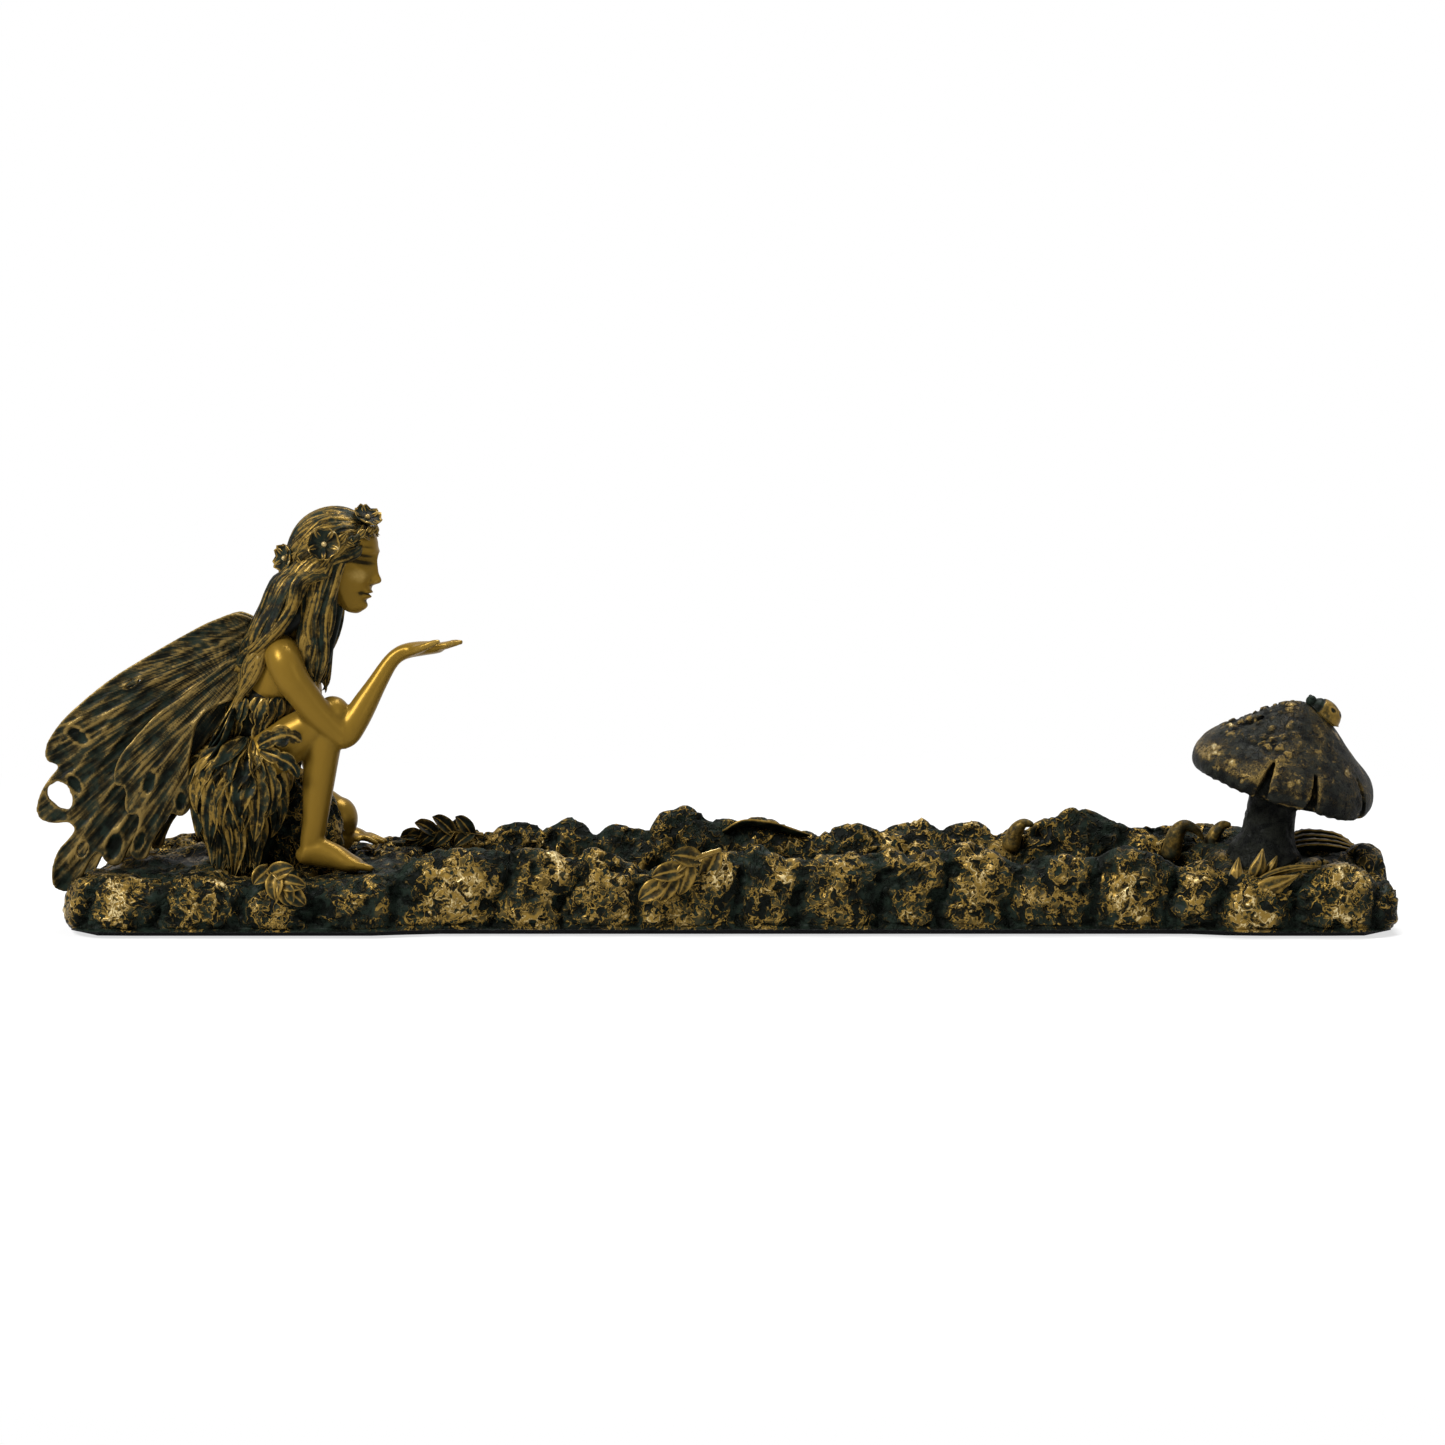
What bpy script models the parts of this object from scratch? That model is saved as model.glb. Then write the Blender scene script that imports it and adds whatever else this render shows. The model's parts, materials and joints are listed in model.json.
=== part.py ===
"""Incense stick holder: a crouching winged fairy at one end of a rocky ash trough, a mushroom at the other.

The stick's bare end goes into the hole in the mushroom cap, and its ash falls into the trough.
Everything above the felt is one casting, so every form is joined into one solid.
Lengths are in metres; the tables of stations are in millimetres and are multiplied by TABLE_UNIT.
+X runs from the fairy to the mushroom, +Z is up, and -Y is the side that shows the figure's right arm.
"""

import math

import bmesh
import bpy
from mathutils import Matrix, Vector

TABLE_UNIT = 0.001  # one unit of the tables below, in metres

# Base: a rock slab with a trough, a platform for the figure and one for the mushroom
BASE_LENGTH = 0.3048
WING_OVERHANG = 0.0062  # how far the wings reach past the base's left end
PLATFORM_LENGTH = 0.080
MUSHROOM_ROCK_LENGTH = 0.046
PLATFORM_HALF_WIDTH = 0.0240
TROUGH_HALF_WIDTH = 0.0205
PLATFORM_TOP = 0.0135
MUSHROOM_ROCK_TOP = 0.0165
NEAR_RIM = 0.0182
FAR_RIM = 0.0212
TROUGH_FLOOR = 0.0090
TROUGH_FLOOR_HALF_WIDTH = 0.0095
END_ROUNDING = 0.0130
END_SQUARENESS = 2.6
END_FACE_SHARE = 0.38  # how wide the flat at each end is, as a share of the base's width
BOULDER_BULGE = 0.0032
CRACK_SHARPNESS = 3.2
CREST_SWING = 0.0040
END_BOULDER_FROM_END = 0.0059

# Felt under the casting, with a film of glue between them
FELT_THICKNESS = 0.0010
GLUE_FILM = 0.0003
FELT_INSET = 0.0012
FELT_STATIONS = 40

# Mushroom
MUSHROOM_FROM_END = 0.0280
STEM_RADIUS = 0.0058
STEM_FLARE = 0.0026
CAP_RADIUS = 0.0213
CAP_HEIGHT = 0.0178
CAP_RIM_HEIGHT = 0.0345
CAP_LEAN_DEG = 15.5
CAP_NOD_DEG = 9.0
GILL_DEPTH = 0.0062
SPLIT_WIDTH = 0.0021
SPLIT_LENGTH = 0.0085
STICK_HOLE_RADIUS = 0.0013
STICK_HOLE_DEPTH = 0.0130
STICK_RISE_DEG = 7.0
BEETLE_LENGTH = 0.0082
BEETLE_WIDTH = 0.0066
BEETLE_HEIGHT = 0.0042

# Figure and wings
FIGURE_FROM_END = 0.0493
FLESH_SIDES = 10
WING_THICKNESS = 0.0013
VEIN_RADIUS = 0.0008
UPPER_WING_SPLAY_DEG = 11.0
LOWER_WING_SPLAY_DEG = 21.0
WING_ROOT_HALF_GAP = 0.0025
FLOWER_RADIUS = 0.0030
LEAF_THICKNESS = 0.0011
LEAF_ROOT = 0.0026  # how deep a leaf's underside sinks into what it lies on

# Places worked out from the sizes
OVERALL_LENGTH = BASE_LENGTH + WING_OVERHANG
BASE_LEFT = WING_OVERHANG - OVERALL_LENGTH / 2
BASE_RIGHT = BASE_LEFT + BASE_LENGTH
CASTING_BOTTOM = FELT_THICKNESS + GLUE_FILM
FIGURE_ORIGIN = Vector((BASE_LEFT + FIGURE_FROM_END, 0.0, PLATFORM_TOP))
MUSHROOM_ORIGIN = Vector((BASE_RIGHT - MUSHROOM_FROM_END, 0.0, MUSHROOM_ROCK_TOP))
TROUGH_START = BASE_LEFT + PLATFORM_LENGTH
TROUGH_END = BASE_RIGHT - MUSHROOM_ROCK_LENGTH
SIDE = Vector((0.0, 1.0, 0.0))
UP = Vector((0.0, 0.0, 1.0))


def clear_scene():
    for item in list(bpy.data.objects):
        bpy.data.objects.remove(item, do_unlink=True)


def material(name, colour, roughness, metallic):
    made = bpy.data.materials.new(name)
    made.use_nodes = True
    shader = made.node_tree.nodes["Principled BSDF"]
    shader.inputs["Base Color"].default_value = (*colour, 1.0)
    shader.inputs["Roughness"].default_value = roughness
    shader.inputs["Metallic"].default_value = metallic
    return made


def add_object(name, bm, finish, collection):
    bmesh.ops.recalc_face_normals(bm, faces=bm.faces)
    mesh = bpy.data.meshes.new(name)
    bm.to_mesh(mesh)
    bm.free()
    mesh.materials.append(finish)
    mesh.shade_smooth()
    mesh.set_sharp_from_angle(angle=math.radians(50))
    made = bpy.data.objects.new(name, mesh)
    collection.objects.link(made)
    return made


def ease(value, start, end):
    """0 before start, 1 after end, and a smooth step between them."""
    share = min(1.0, max(0.0, (value - start) / (end - start)))
    return share * share * (3 - 2 * share)


def curve_through(rows, steps):
    """Catmull-Rom stations through rows of numbers, with steps of them to each span."""
    made = []
    last = len(rows) - 1
    for i in range(last):
        before, here, there, after = (rows[max(0, i - 1)], rows[i], rows[i + 1], rows[min(last, i + 2)])
        for k in range(steps):
            t = k / steps
            made.append([
                0.5 * (2 * b + (c - a) * t + (2 * a - 5 * b + 4 * c - d) * t ** 2 + (3 * b - a - 3 * c + d) * t ** 3)
                for a, b, c, d in zip(before, here, there, after)
            ])
    made.append(list(rows[last]))
    return made


def loft(bm, rings):
    """Skins closed rings of points one after another and caps both ends."""
    first = [bm.verts.new(point) for point in rings[0]]
    cap = bm.faces.new(first)
    for ring in rings[1:]:
        cap = bmesh.ops.extrude_discrete_faces(bm, faces=[cap])["faces"][0]
        for vert, point in zip(cap.verts, ring):
            vert.co = point
    open_edges = [edge for edge in bm.edges if edge.is_boundary]
    bmesh.ops.holes_fill(bm, edges=open_edges)


def spine_rings(rows, sides, origin, side=SIDE, ripples=0, ripple_depth=0.0):
    """Elliptic rings along a spine. A row is x, y, z, half width along side, half width across it, in mm."""
    centres = [origin + Vector(row[:3]) * TABLE_UNIT for row in rows]
    rings = []
    for i, row in enumerate(rows):
        tangent = (centres[min(i + 1, len(rows) - 1)] - centres[max(i - 1, 0)]).normalized()
        across = (side - tangent * side.dot(tangent)).normalized()
        over = across.cross(tangent)
        ring = []
        for k in range(sides):
            turn = 2 * math.pi * k / sides
            swell = 1 + ripple_depth * math.cos(ripples * turn)
            ring.append(
                centres[i]
                + across * (row[3] * TABLE_UNIT * swell * math.cos(turn))
                + over * (row[4] * TABLE_UNIT * swell * math.sin(turn))
            )
        rings.append(ring)
    return rings


def limb(rows, sides=FLESH_SIDES, steps=1, origin=None, side=SIDE, ripples=0, ripple_depth=0.0):
    """A closed organic form along a spine, in the figure's own frame unless an origin is given."""
    bm = bmesh.new()
    start = FIGURE_ORIGIN if origin is None else origin
    loft(bm, spine_rings(curve_through(rows, steps), sides, start, side, ripples, ripple_depth))
    return bm


def ellipsoid(centre, radii, turn=Matrix.Identity(4), subdivisions=2):
    bm = bmesh.new()
    place = Matrix.Translation(centre) @ turn @ Matrix.Diagonal((*radii, 1.0))
    bmesh.ops.create_icosphere(bm, subdivisions=subdivisions, radius=1.0, matrix=place)
    return bm


def leaf(origin, rows, side, outward, lobes):
    """A lobed leaf along a spine. A row is x, y, z and half width, in mm; lobes cut the edge in and out."""
    bm = bmesh.new()
    stations = curve_through(rows, 2)
    rings = []
    centres = [origin + Vector(row[:3]) * TABLE_UNIT for row in stations]
    for i, row in enumerate(stations):
        tangent = (centres[min(i + 1, len(stations) - 1)] - centres[max(i - 1, 0)]).normalized()
        across = (side - tangent * side.dot(tangent)).normalized()
        over = across.cross(tangent)
        if over.dot(outward) < 0:
            over = -over
        share = i / (len(stations) - 1)
        lobe = 1 - 0.32 * abs(math.sin(math.pi * lobes * share))
        half = max(0.25 * TABLE_UNIT, row[3] * TABLE_UNIT * lobe)
        curl = over * (half * 0.25)
        rings.append([
            centres[i] - across * half + curl,
            centres[i] + over * (LEAF_THICKNESS * 0.5),
            centres[i] + across * half + curl,
            centres[i] - over * LEAF_ROOT,
        ])
    loft(bm, rings)
    return bm


# The rock

# Rim heights along the base, as (share of the trough's length from its figure end, height above the mean
# level there as a share of CREST_SWING). Shares below 0 are at the figure and above 1 at the mushroom.
NEAR_CREST = (
    (-0.447, -1.0), (-0.43, -0.1), (-0.385, 0.08), (-0.325, -0.48), (-0.27, 0.03), (-0.22, -0.43), (-0.165, -0.08),
    (-0.12, -0.53), (-0.07, -0.13), (-0.02, -0.05), (0.0, 0.1),
    (0.03, 0.15), (0.08, 0.25), (0.13, 0.15), (0.17, 0.25), (0.19, -0.2), (0.23, 0.3), (0.285, -0.65),
    (0.31, -0.72), (0.365, -0.2), (0.44, 0.48), (0.475, -0.5), (0.54, -0.1), (0.61, 0.2), (0.635, -0.2), (0.71, 0.55),
    (0.78, -0.65), (0.865, -0.1), (0.905, 0.42), (0.93, 0.2), (0.98, -0.72),
    (1.005, -0.28), (1.025, -0.46), (1.07, -0.83), (1.13, -0.93), (1.145, -0.58), (1.185, -0.18), (1.21, -0.53),
    (1.227, -1.4), (1.238, -1.0), (1.257, -1.88),
)
FAR_CREST = (
    (-0.447, -1.13), (-0.418, -0.25), (-0.373, 0.72), (-0.328, 1.15), (-0.261, 1.15), (-0.194, 0.48), (-0.138, 0.4),
    (-0.095, 0.72), (-0.06, 0.92), (0.0, 0.34),
    (0.045, 0.2), (0.085, -0.45), (0.12, 0.08), (0.165, -0.32), (0.19, 0.38), (0.225, -0.6), (0.295, -0.28),
    (0.345, 0.92), (0.38, 0.3), (0.415, 0.12), (0.45, 0.42), (0.52, -0.6), (0.575, 0.08), (0.61, -0.45), (0.66, 0.3),
    (0.685, -0.2), (0.73, 0.08), (0.76, -0.5), (0.795, -0.38), (0.858, 0.92), (0.89, 0.6), (0.935, -0.2),
    (0.988, -0.07), (1.038, 0.86), (1.092, 0.78), (1.133, 0.68), (1.171, 0.45), (1.216, 0.28), (1.245, -0.58), (1.257, -1.38),
)

# Cracks between the boulders of each wall, as (share of the trough's length, depth as a share of the full depth)
NEAR_CRACKS = (
    (-0.447, 1), (-0.409, 1), (-0.319, 1), (-0.217, 1), (-0.121, 1), (-0.018, 1), (0.052, 0), (0.116, 1), (0.201, 1),
    (0.289, 1), (0.354, 0), (0.416, 1), (0.493, 1), (0.596, 1), (0.672, 1), (0.762, 1), (0.871, 1), (0.966, 1),
    (1.024, 1), (1.12, 1), (1.229, 1), (1.257, 1),
)
FAR_CRACKS = (
    (-0.447, 1), (-0.362, 1), (-0.267, 1), (-0.166, 1), (-0.077, 1), (0.002, 1), (0.086, 1), (0.153, 1), (0.225, 1),
    (0.292, 1), (0.376, 1), (0.494, 1), (0.522, 1), (0.606, 1), (0.684, 1), (0.757, 1), (0.801, 1), (0.919, 1),
    (1.008, 1), (1.103, 1), (1.182, 1), (1.257, 1),
)

# Where the rings stand within a boulder, from the crack at its start to the next one
BOULDER_RINGS = (0.0, 0.14, 0.5, 0.86)
FIRST_RINGS = (0.0, 0.05, 0.16, 0.4, 0.75)
LAST_RINGS = (0.0, 0.25, 0.6, 0.84, 0.95, 1.0)

# Half of the section, from the bottom edge up the wall, over the rim and down to the trough's middle. A row is
# share of the half width, share of the rim height, how far the point follows the trough floor, and how far it
# is pushed out and up by a boulder.
WALL_SECTION = (
    (0.90, 0.0, 0.0, 0.0, 0.0), (1.0, 0.14, 0.0, 0.8, 0.1), (1.02, 0.50, 0.0, 1.0, 0.0), (0.96, 0.84, 0.0, 0.85, 0.3),
    (0.83, 1.0, 0.0, 0.2, 0.5), (0.70, 0.92, 0.15, -0.1, 0.3), (0.59, 0.70, 0.7, 0.0, 0.4), (0.48, 0.55, 1.0, 0.0, 0.4),
)
SWELL_LEVEL = 0.62  # the swell that leaves the wall where the section has it


def table_at(table, share):
    for (a, low), (b, high) in zip(table, table[1:]):
        if share <= b:
            return low + (high - low) * ease(share, a, b)
    return table[-1][1]


def swell_at(cracks, share):
    """1 over the middle of a boulder, falling to 0 in a full crack beside it."""
    for (a, first), (b, second) in zip(cracks, cracks[1:]):
        if share <= b:
            t = 2 * (share - a) / (b - a) - 1
            return 1 - (first if t < 0 else second) * min(1.0, abs(t)) ** CRACK_SHARPNESS
    return 0.0


def half_section(x, direction, inset=0.0):
    """One half of the rock's section at x: (y, z) points from the bottom edge up the wall and in to the middle."""
    run = (x - TROUGH_START) / (TROUGH_END - TROUGH_START)
    trough = ease(x, TROUGH_START - 0.010, TROUGH_START + 0.006) * (1 - ease(x, TROUGH_END - 0.004, TROUGH_END + 0.010))
    over_mushroom = ease(x, TROUGH_END - 0.010, TROUGH_END + 0.010)
    solid_top = PLATFORM_TOP + (MUSHROOM_ROCK_TOP - PLATFORM_TOP) * over_mushroom
    end_gap = min(1.0, max(0.0, min(x - BASE_LEFT, BASE_RIGHT - x) / END_ROUNDING))
    rounding = (1 - (1 - end_gap) ** END_SQUARENESS) ** (1 / END_SQUARENESS)
    half = PLATFORM_HALF_WIDTH + (TROUGH_HALF_WIDTH - PLATFORM_HALF_WIDTH) * trough
    half *= max(END_FACE_SHARE, rounding)
    crests = []
    for rim, table in ((NEAR_RIM, NEAR_CREST), (FAR_RIM, FAR_CREST)):
        crest = solid_top + (rim - solid_top) * trough + table_at(table, run) * CREST_SWING
        crests.append(CASTING_BOTTOM + (crest - CASTING_BOTTOM) * (0.7 + 0.3 * rounding))
    crest = crests[0] if direction < 0 else crests[1]
    middle = (crests[0] + crests[1]) / 2
    cracks = NEAR_CRACKS if direction < 0 else FAR_CRACKS
    push = BOULDER_BULGE * (swell_at(cracks, run) - SWELL_LEVEL) * rounding
    points = []
    for across, up, floor_share, out, rise in WALL_SECTION:
        wall_z = CASTING_BOTTOM + (crest - CASTING_BOTTOM) * up
        sunk_z = wall_z + (TROUGH_FLOOR - wall_z) * floor_share
        flat_z = wall_z if across > 0.8 else middle + (crest - middle) * across / 0.83
        y = across * half - inset
        if floor_share == 1.0:
            y += (TROUGH_FLOOR_HALF_WIDTH - y) * trough
        points.append((direction * (y + push * out), sunk_z * trough + flat_z * (1 - trough) + push * rise))
    return points


def rock_base():
    """The rock as rings of points. Each ring crosses the near and the far wall at the same place within a boulder."""
    bm = bmesh.new()
    rings = []
    last = len(NEAR_CRACKS) - 2
    for i in range(last + 1):
        shares = FIRST_RINGS if i == 0 else LAST_RINGS if i == last else BOULDER_RINGS
        for t in shares:
            ring = []
            for direction, cracks in ((-1, NEAR_CRACKS), (1, FAR_CRACKS)):
                run = cracks[i][0] + (cracks[i + 1][0] - cracks[i][0]) * t
                x = min(BASE_RIGHT, max(BASE_LEFT, TROUGH_START + (TROUGH_END - TROUGH_START) * run))
                side = [Vector((x, y, z)) for y, z in half_section(x, direction)]
                ring += side if direction < 0 else side[::-1]
            rings.append(ring)
    for point in rings[0]:
        point.x = BASE_LEFT
    for point in rings[-1]:
        point.x = BASE_RIGHT
    loft(bm, rings)
    return bm


def felt_pad(finish, collection):
    """A felt sheet cut to the rock's outline, a little inside it."""
    outline = []
    for direction in (-1, 1):
        side = []
        for i in range(FELT_STATIONS):
            x = BASE_LEFT + FELT_INSET + (BASE_LENGTH - 2 * FELT_INSET) * i / (FELT_STATIONS - 1)
            side.append(half_section(x, direction, FELT_INSET)[0][0])
        outline += [
            (BASE_LEFT + FELT_INSET + (BASE_LENGTH - 2 * FELT_INSET) * i / (FELT_STATIONS - 1), side[i])
            for i in (range(FELT_STATIONS) if direction < 0 else reversed(range(FELT_STATIONS)))
        ]
    bm = bmesh.new()
    sheet = bm.faces.new([bm.verts.new((x, y, 0.0)) for x, y in outline])
    made = bmesh.ops.extrude_face_region(bm, geom=[sheet], use_keep_orig=True)
    bmesh.ops.translate(
        bm, vec=(0.0, 0.0, FELT_THICKNESS), verts=[v for v in made["geom"] if isinstance(v, bmesh.types.BMVert)]
    )
    return add_object("felt_pad", bm, finish, collection)


# The mushroom

CAP_PROFILE = (
    (0.0, 1.0), (0.16, 0.965), (0.40, 0.76), (0.64, 0.53), (0.84, 0.33), (0.97, 0.14), (1.0, -0.02), (0.96, -0.15),
)


def cap_frame():
    """The cap's own frame, at the middle of its rim, leaning towards +X and nodding towards -Y."""
    middle = Vector((MUSHROOM_ORIGIN.x + STEM_RADIUS * 0.58, 0.0, CAP_RIM_HEIGHT))
    lean = Matrix.Rotation(math.radians(CAP_LEAN_DEG), 4, "Y")
    nod = Matrix.Rotation(math.radians(CAP_NOD_DEG), 4, "X")
    return Matrix.Translation(middle) @ nod @ lean


def mushroom_cap():
    bm = bmesh.new()
    frame = cap_frame()
    outer = [Vector((r * CAP_RADIUS, 0.0, h * CAP_HEIGHT)) for r, h in CAP_PROFILE]
    under = [
        Vector((0.74 * CAP_RADIUS, 0.0, -0.52 * GILL_DEPTH)),
        Vector((0.40 * CAP_RADIUS, 0.0, -0.85 * GILL_DEPTH)),
        Vector((0.0, 0.0, -GILL_DEPTH)),
    ]
    verts = [bm.verts.new(p) for p in outer + under]
    edges = [bm.edges.new(pair) for pair in zip(verts, verts[1:])]
    bmesh.ops.spin(bm, geom=verts + edges, cent=(0, 0, 0), axis=(0, 0, 1), angle=2 * math.pi, steps=25, use_merge=True)
    bmesh.ops.remove_doubles(bm, verts=bm.verts, dist=0.01 * TABLE_UNIT)
    bmesh.ops.transform(bm, matrix=frame, verts=bm.verts)
    return bm


def mushroom_stem():
    """The stem, from inside the rock to inside the cap, flared at both ends."""
    low = Vector((0.0, 0.0, -3.0))
    tall = (CAP_RIM_HEIGHT - GILL_DEPTH * 0.4 - MUSHROOM_ORIGIN.z) / TABLE_UNIT
    wide = STEM_RADIUS / TABLE_UNIT
    foot = wide + STEM_FLARE / TABLE_UNIT
    rows = (
        (-0.6, 0.0, low.z, foot, foot),
        (-0.3, 0.0, 1.0, foot * 0.92, foot * 0.95),
        (0.2, 0.0, tall * 0.35, wide, wide),
        (1.2, 0.0, tall * 0.75, wide, wide * 0.95),
        (wide * 0.5, 0.0, tall, wide * 1.15, wide * 1.1),
    )
    return limb(rows, sides=14, origin=MUSHROOM_ORIGIN, ripples=7, ripple_depth=0.05)


def cap_split(turn_deg):
    """A wedge that splits the cap's rim, at an angle round the cap from +X."""
    bm = bmesh.new()
    bmesh.ops.create_cone(
        bm, segments=4, cap_ends=True, radius1=SPLIT_WIDTH * 0.5, radius2=0.0001, depth=SPLIT_LENGTH
    )
    bmesh.ops.scale(bm, vec=(4.6, 1.0, 1.0), verts=bm.verts)
    bmesh.ops.translate(bm, vec=(CAP_RADIUS * 0.97, 0.0, -0.05 * CAP_HEIGHT + SPLIT_LENGTH * 0.32), verts=bm.verts)
    turn = Matrix.Rotation(math.radians(turn_deg), 4, "Z")
    bmesh.ops.transform(bm, matrix=cap_frame() @ turn, verts=bm.verts)
    return bm


def stick_hole():
    """The blind hole that holds the stick, entering the cap's flank that faces the figure."""
    rise = math.radians(STICK_RISE_DEG)
    along = Vector((math.cos(rise), 0.0, -math.sin(rise)))
    entry = cap_frame() @ Vector((-0.52 * CAP_RADIUS, -0.10 * CAP_RADIUS, 0.62 * CAP_HEIGHT))
    start = entry - along * STICK_HOLE_DEPTH * 0.35
    middle = start + along * STICK_HOLE_DEPTH * 0.675
    bm = bmesh.new()
    turn = along.to_track_quat("Z", "Y").to_matrix().to_4x4()
    bmesh.ops.create_cone(
        bm, segments=12, cap_ends=True, radius1=STICK_HOLE_RADIUS, radius2=STICK_HOLE_RADIUS,
        depth=STICK_HOLE_DEPTH * 1.35, matrix=Matrix.Translation(middle) @ turn,
    )
    return bm


def beetle_frame():
    """The beetle's frame on the cap's shoulder, nose towards the figure."""
    seat = cap_frame() @ Vector((0.20 * CAP_RADIUS, 0.0, 0.95 * CAP_HEIGHT))
    slope = Matrix.Rotation(math.radians(38.0), 4, "Y")
    return Matrix.Translation(seat) @ slope


def beetle_shell():
    radii = (BEETLE_LENGTH / 2, BEETLE_WIDTH / 2, BEETLE_HEIGHT * 0.7)
    return ellipsoid(beetle_frame() @ Vector((0.0, 0.0, BEETLE_HEIGHT * 0.28)), radii, beetle_turn())


def beetle_head():
    radii = (BEETLE_LENGTH * 0.17, BEETLE_WIDTH * 0.24, BEETLE_HEIGHT * 0.34)
    place = Vector((-BEETLE_LENGTH * 0.56, 0.0, BEETLE_HEIGHT * 0.28))
    return ellipsoid(beetle_frame() @ place, radii, beetle_turn(), 1)


def beetle_turn():
    return beetle_frame().to_3x3().to_4x4()


# The figure, in mm from the point on the rock under its seat

NEAR_UPPER_ARM = (
    (0.2, -8.0, 50.8, 3.2, 3.0), (1.6, -12.8, 48.4, 4.1, 4.1), (5.0, -13.0, 41.4, 3.5, 3.7),
    (8.9, -11.8, 35.5, 3.1, 3.3), (12.6, -10.6, 30.9, 2.8, 3.0), (15.4, -9.9, 28.0, 2.4, 2.6),
)
NEAR_FOREARM = (
    (14.4, -10.0, 27.6, 2.2, 2.4), (16.6, -9.5, 30.2, 2.8, 2.9), (19.8, -8.2, 35.6, 2.7, 2.6),
    (23.0, -6.8, 41.6, 2.2, 2.1), (26.2, -5.4, 46.9, 1.8, 1.6), (28.6, -4.7, 49.3, 2.3, 1.5),
    (31.6, -4.1, 50.4, 3.3, 1.35), (35.4, -3.6, 50.7, 3.3, 1.1), (36.6, -3.5, 50.8, 2.7, 0.8),
)
FAR_UPPER_ARM = (
    (0.2, 8.0, 50.8, 3.2, 3.0), (1.6, 12.6, 48.4, 4.1, 4.1), (3.2, 14.8, 41.0, 3.5, 3.6),
    (3.6, 15.6, 34.0, 3.0, 3.1), (3.4, 15.8, 29.0, 2.7, 2.7),
)
FAR_FOREARM = (
    (3.2, 15.8, 30.5, 2.4, 2.4), (3.8, 15.6, 25.0, 2.7, 2.6), (5.8, 15.0, 17.0, 2.2, 2.1),
    (9.0, 14.4, 9.6, 1.9, 1.8), (12.6, 13.9, 6.8, 2.6, 1.5), (16.6, 13.4, 5.4, 2.9, 1.4), (20.4, 13.2, 4.4, 2.2, 1.2),
)
NEAR_THIGH = (
    (-8.6, -6.2, 21.4, 6.4, 6.6), (-5.0, -7.2, 24.6, 6.0, 6.3), (1.4, -8.0, 29.6, 5.3, 5.5),
    (7.2, -8.4, 33.0, 4.7, 4.9), (11.0, -8.5, 34.2, 3.9, 4.2), (13.0, -8.5, 34.6, 1.8, 2.0),
)
NEAR_SHIN = (
    (11.4, -8.5, 39.4, 1.6, 1.6), (11.6, -8.5, 37.6, 3.5, 3.5), (11.2, -8.5, 33.8, 4.2, 4.2), (10.4, -8.6, 27.2, 3.7, 3.8),
    (9.4, -8.8, 20.6, 3.3, 3.3), (8.2, -9.0, 12.4, 2.5, 2.5), (7.4, -9.1, 7.0, 2.2, 2.3), (7.2, -9.2, 4.0, 2.0, 2.2),
)
NEAR_FOOT = (
    (3.6, -9.2, 3.6, 1.5, 1.4), (4.9, -9.2, 3.2, 2.3, 2.4), (8.2, -9.4, 3.5, 2.5, 3.1), (12.4, -9.7, 2.4, 2.8, 2.6),
    (16.8, -10.1, 0.9, 3.3, 1.8), (20.2, -10.4, 0.5, 3.3, 1.2), (22.2, -10.6, 0.4, 2.6, 0.9),
)
FAR_THIGH = (
    (-7.6, 5.8, 20.0, 6.4, 6.8), (-2.0, 7.0, 17.6, 6.2, 6.4), (5.0, 7.8, 13.2, 5.6, 5.8),
    (10.4, 8.2, 10.4, 5.0, 5.3), (13.6, 8.2, 9.6, 4.0, 4.6), (15.3, 8.2, 9.2, 1.8, 2.4),
)
FAR_SHIN = (
    (13.6, 8.2, 6.4, 4.2, 3.6), (6.0, 8.4, 3.8, 4.2, 3.8), (-2.0, 8.8, 3.0, 3.6, 3.4), (-9.0, 9.2, 2.4, 2.6, 2.6),
)
TORSO = (
    (-9.8, 0.0, 12.0, 10.0, 9.0), (-9.5, 0.0, 18.0, 13.0, 10.4), (-8.6, 0.0, 25.0, 11.4, 9.0),
    (-7.0, 0.0, 31.0, 8.4, 6.6), (-4.0, 0.0, 38.0, 9.2, 7.2), (-1.2, 0.0, 44.0, 11.2, 7.6),
    (0.6, 0.0, 49.5, 11.2, 6.0), (2.6, 0.0, 53.4, 6.4, 4.6),
)
NECK = ((2.0, 0.0, 50.0, 5.4, 5.0), (4.2, 0.0, 54.6, 4.2, 4.1), (8.4, 0.0, 61.0, 3.8, 3.8), (11.0, 0.0, 66.0, 4.0, 4.2))
HAIR_FALL = (
    (9.4, 0.0, 79.6, 5.6, 3.6), (7.0, 0.0, 76.4, 8.8, 5.6), (5.8, 0.0, 69.0, 10.0, 5.8), (2.8, 0.0, 62.0, 10.6, 6.0),
    (-1.2, 0.0, 56.0, 11.8, 5.4), (-5.2, 0.0, 48.0, 11.6, 4.6), (-8.2, 0.0, 41.0, 9.2, 3.6), (-9.6, 0.0, 35.5, 5.0, 2.0),
)
NEAR_FRONT_LOCK = (
    (11.6, -7.6, 68.0, 2.2, 2.8), (9.4, -9.0, 61.0, 2.6, 4.2), (7.6, -9.4, 53.0, 2.4, 4.0), (8.4, -8.6, 46.0, 2.0, 2.6),
    (9.6, -7.8, 41.0, 1.0, 1.2),
)
FAR_FRONT_LOCK = (
    (11.6, 7.6, 66.0, 2.4, 3.0), (11.6, 9.0, 58.0, 2.6, 3.3), (10.6, 9.6, 50.0, 2.7, 3.2), (9.0, 9.6, 44.0, 2.2, 2.6),
    (7.8, 9.4, 39.6, 1.0, 1.2),
)
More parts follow.
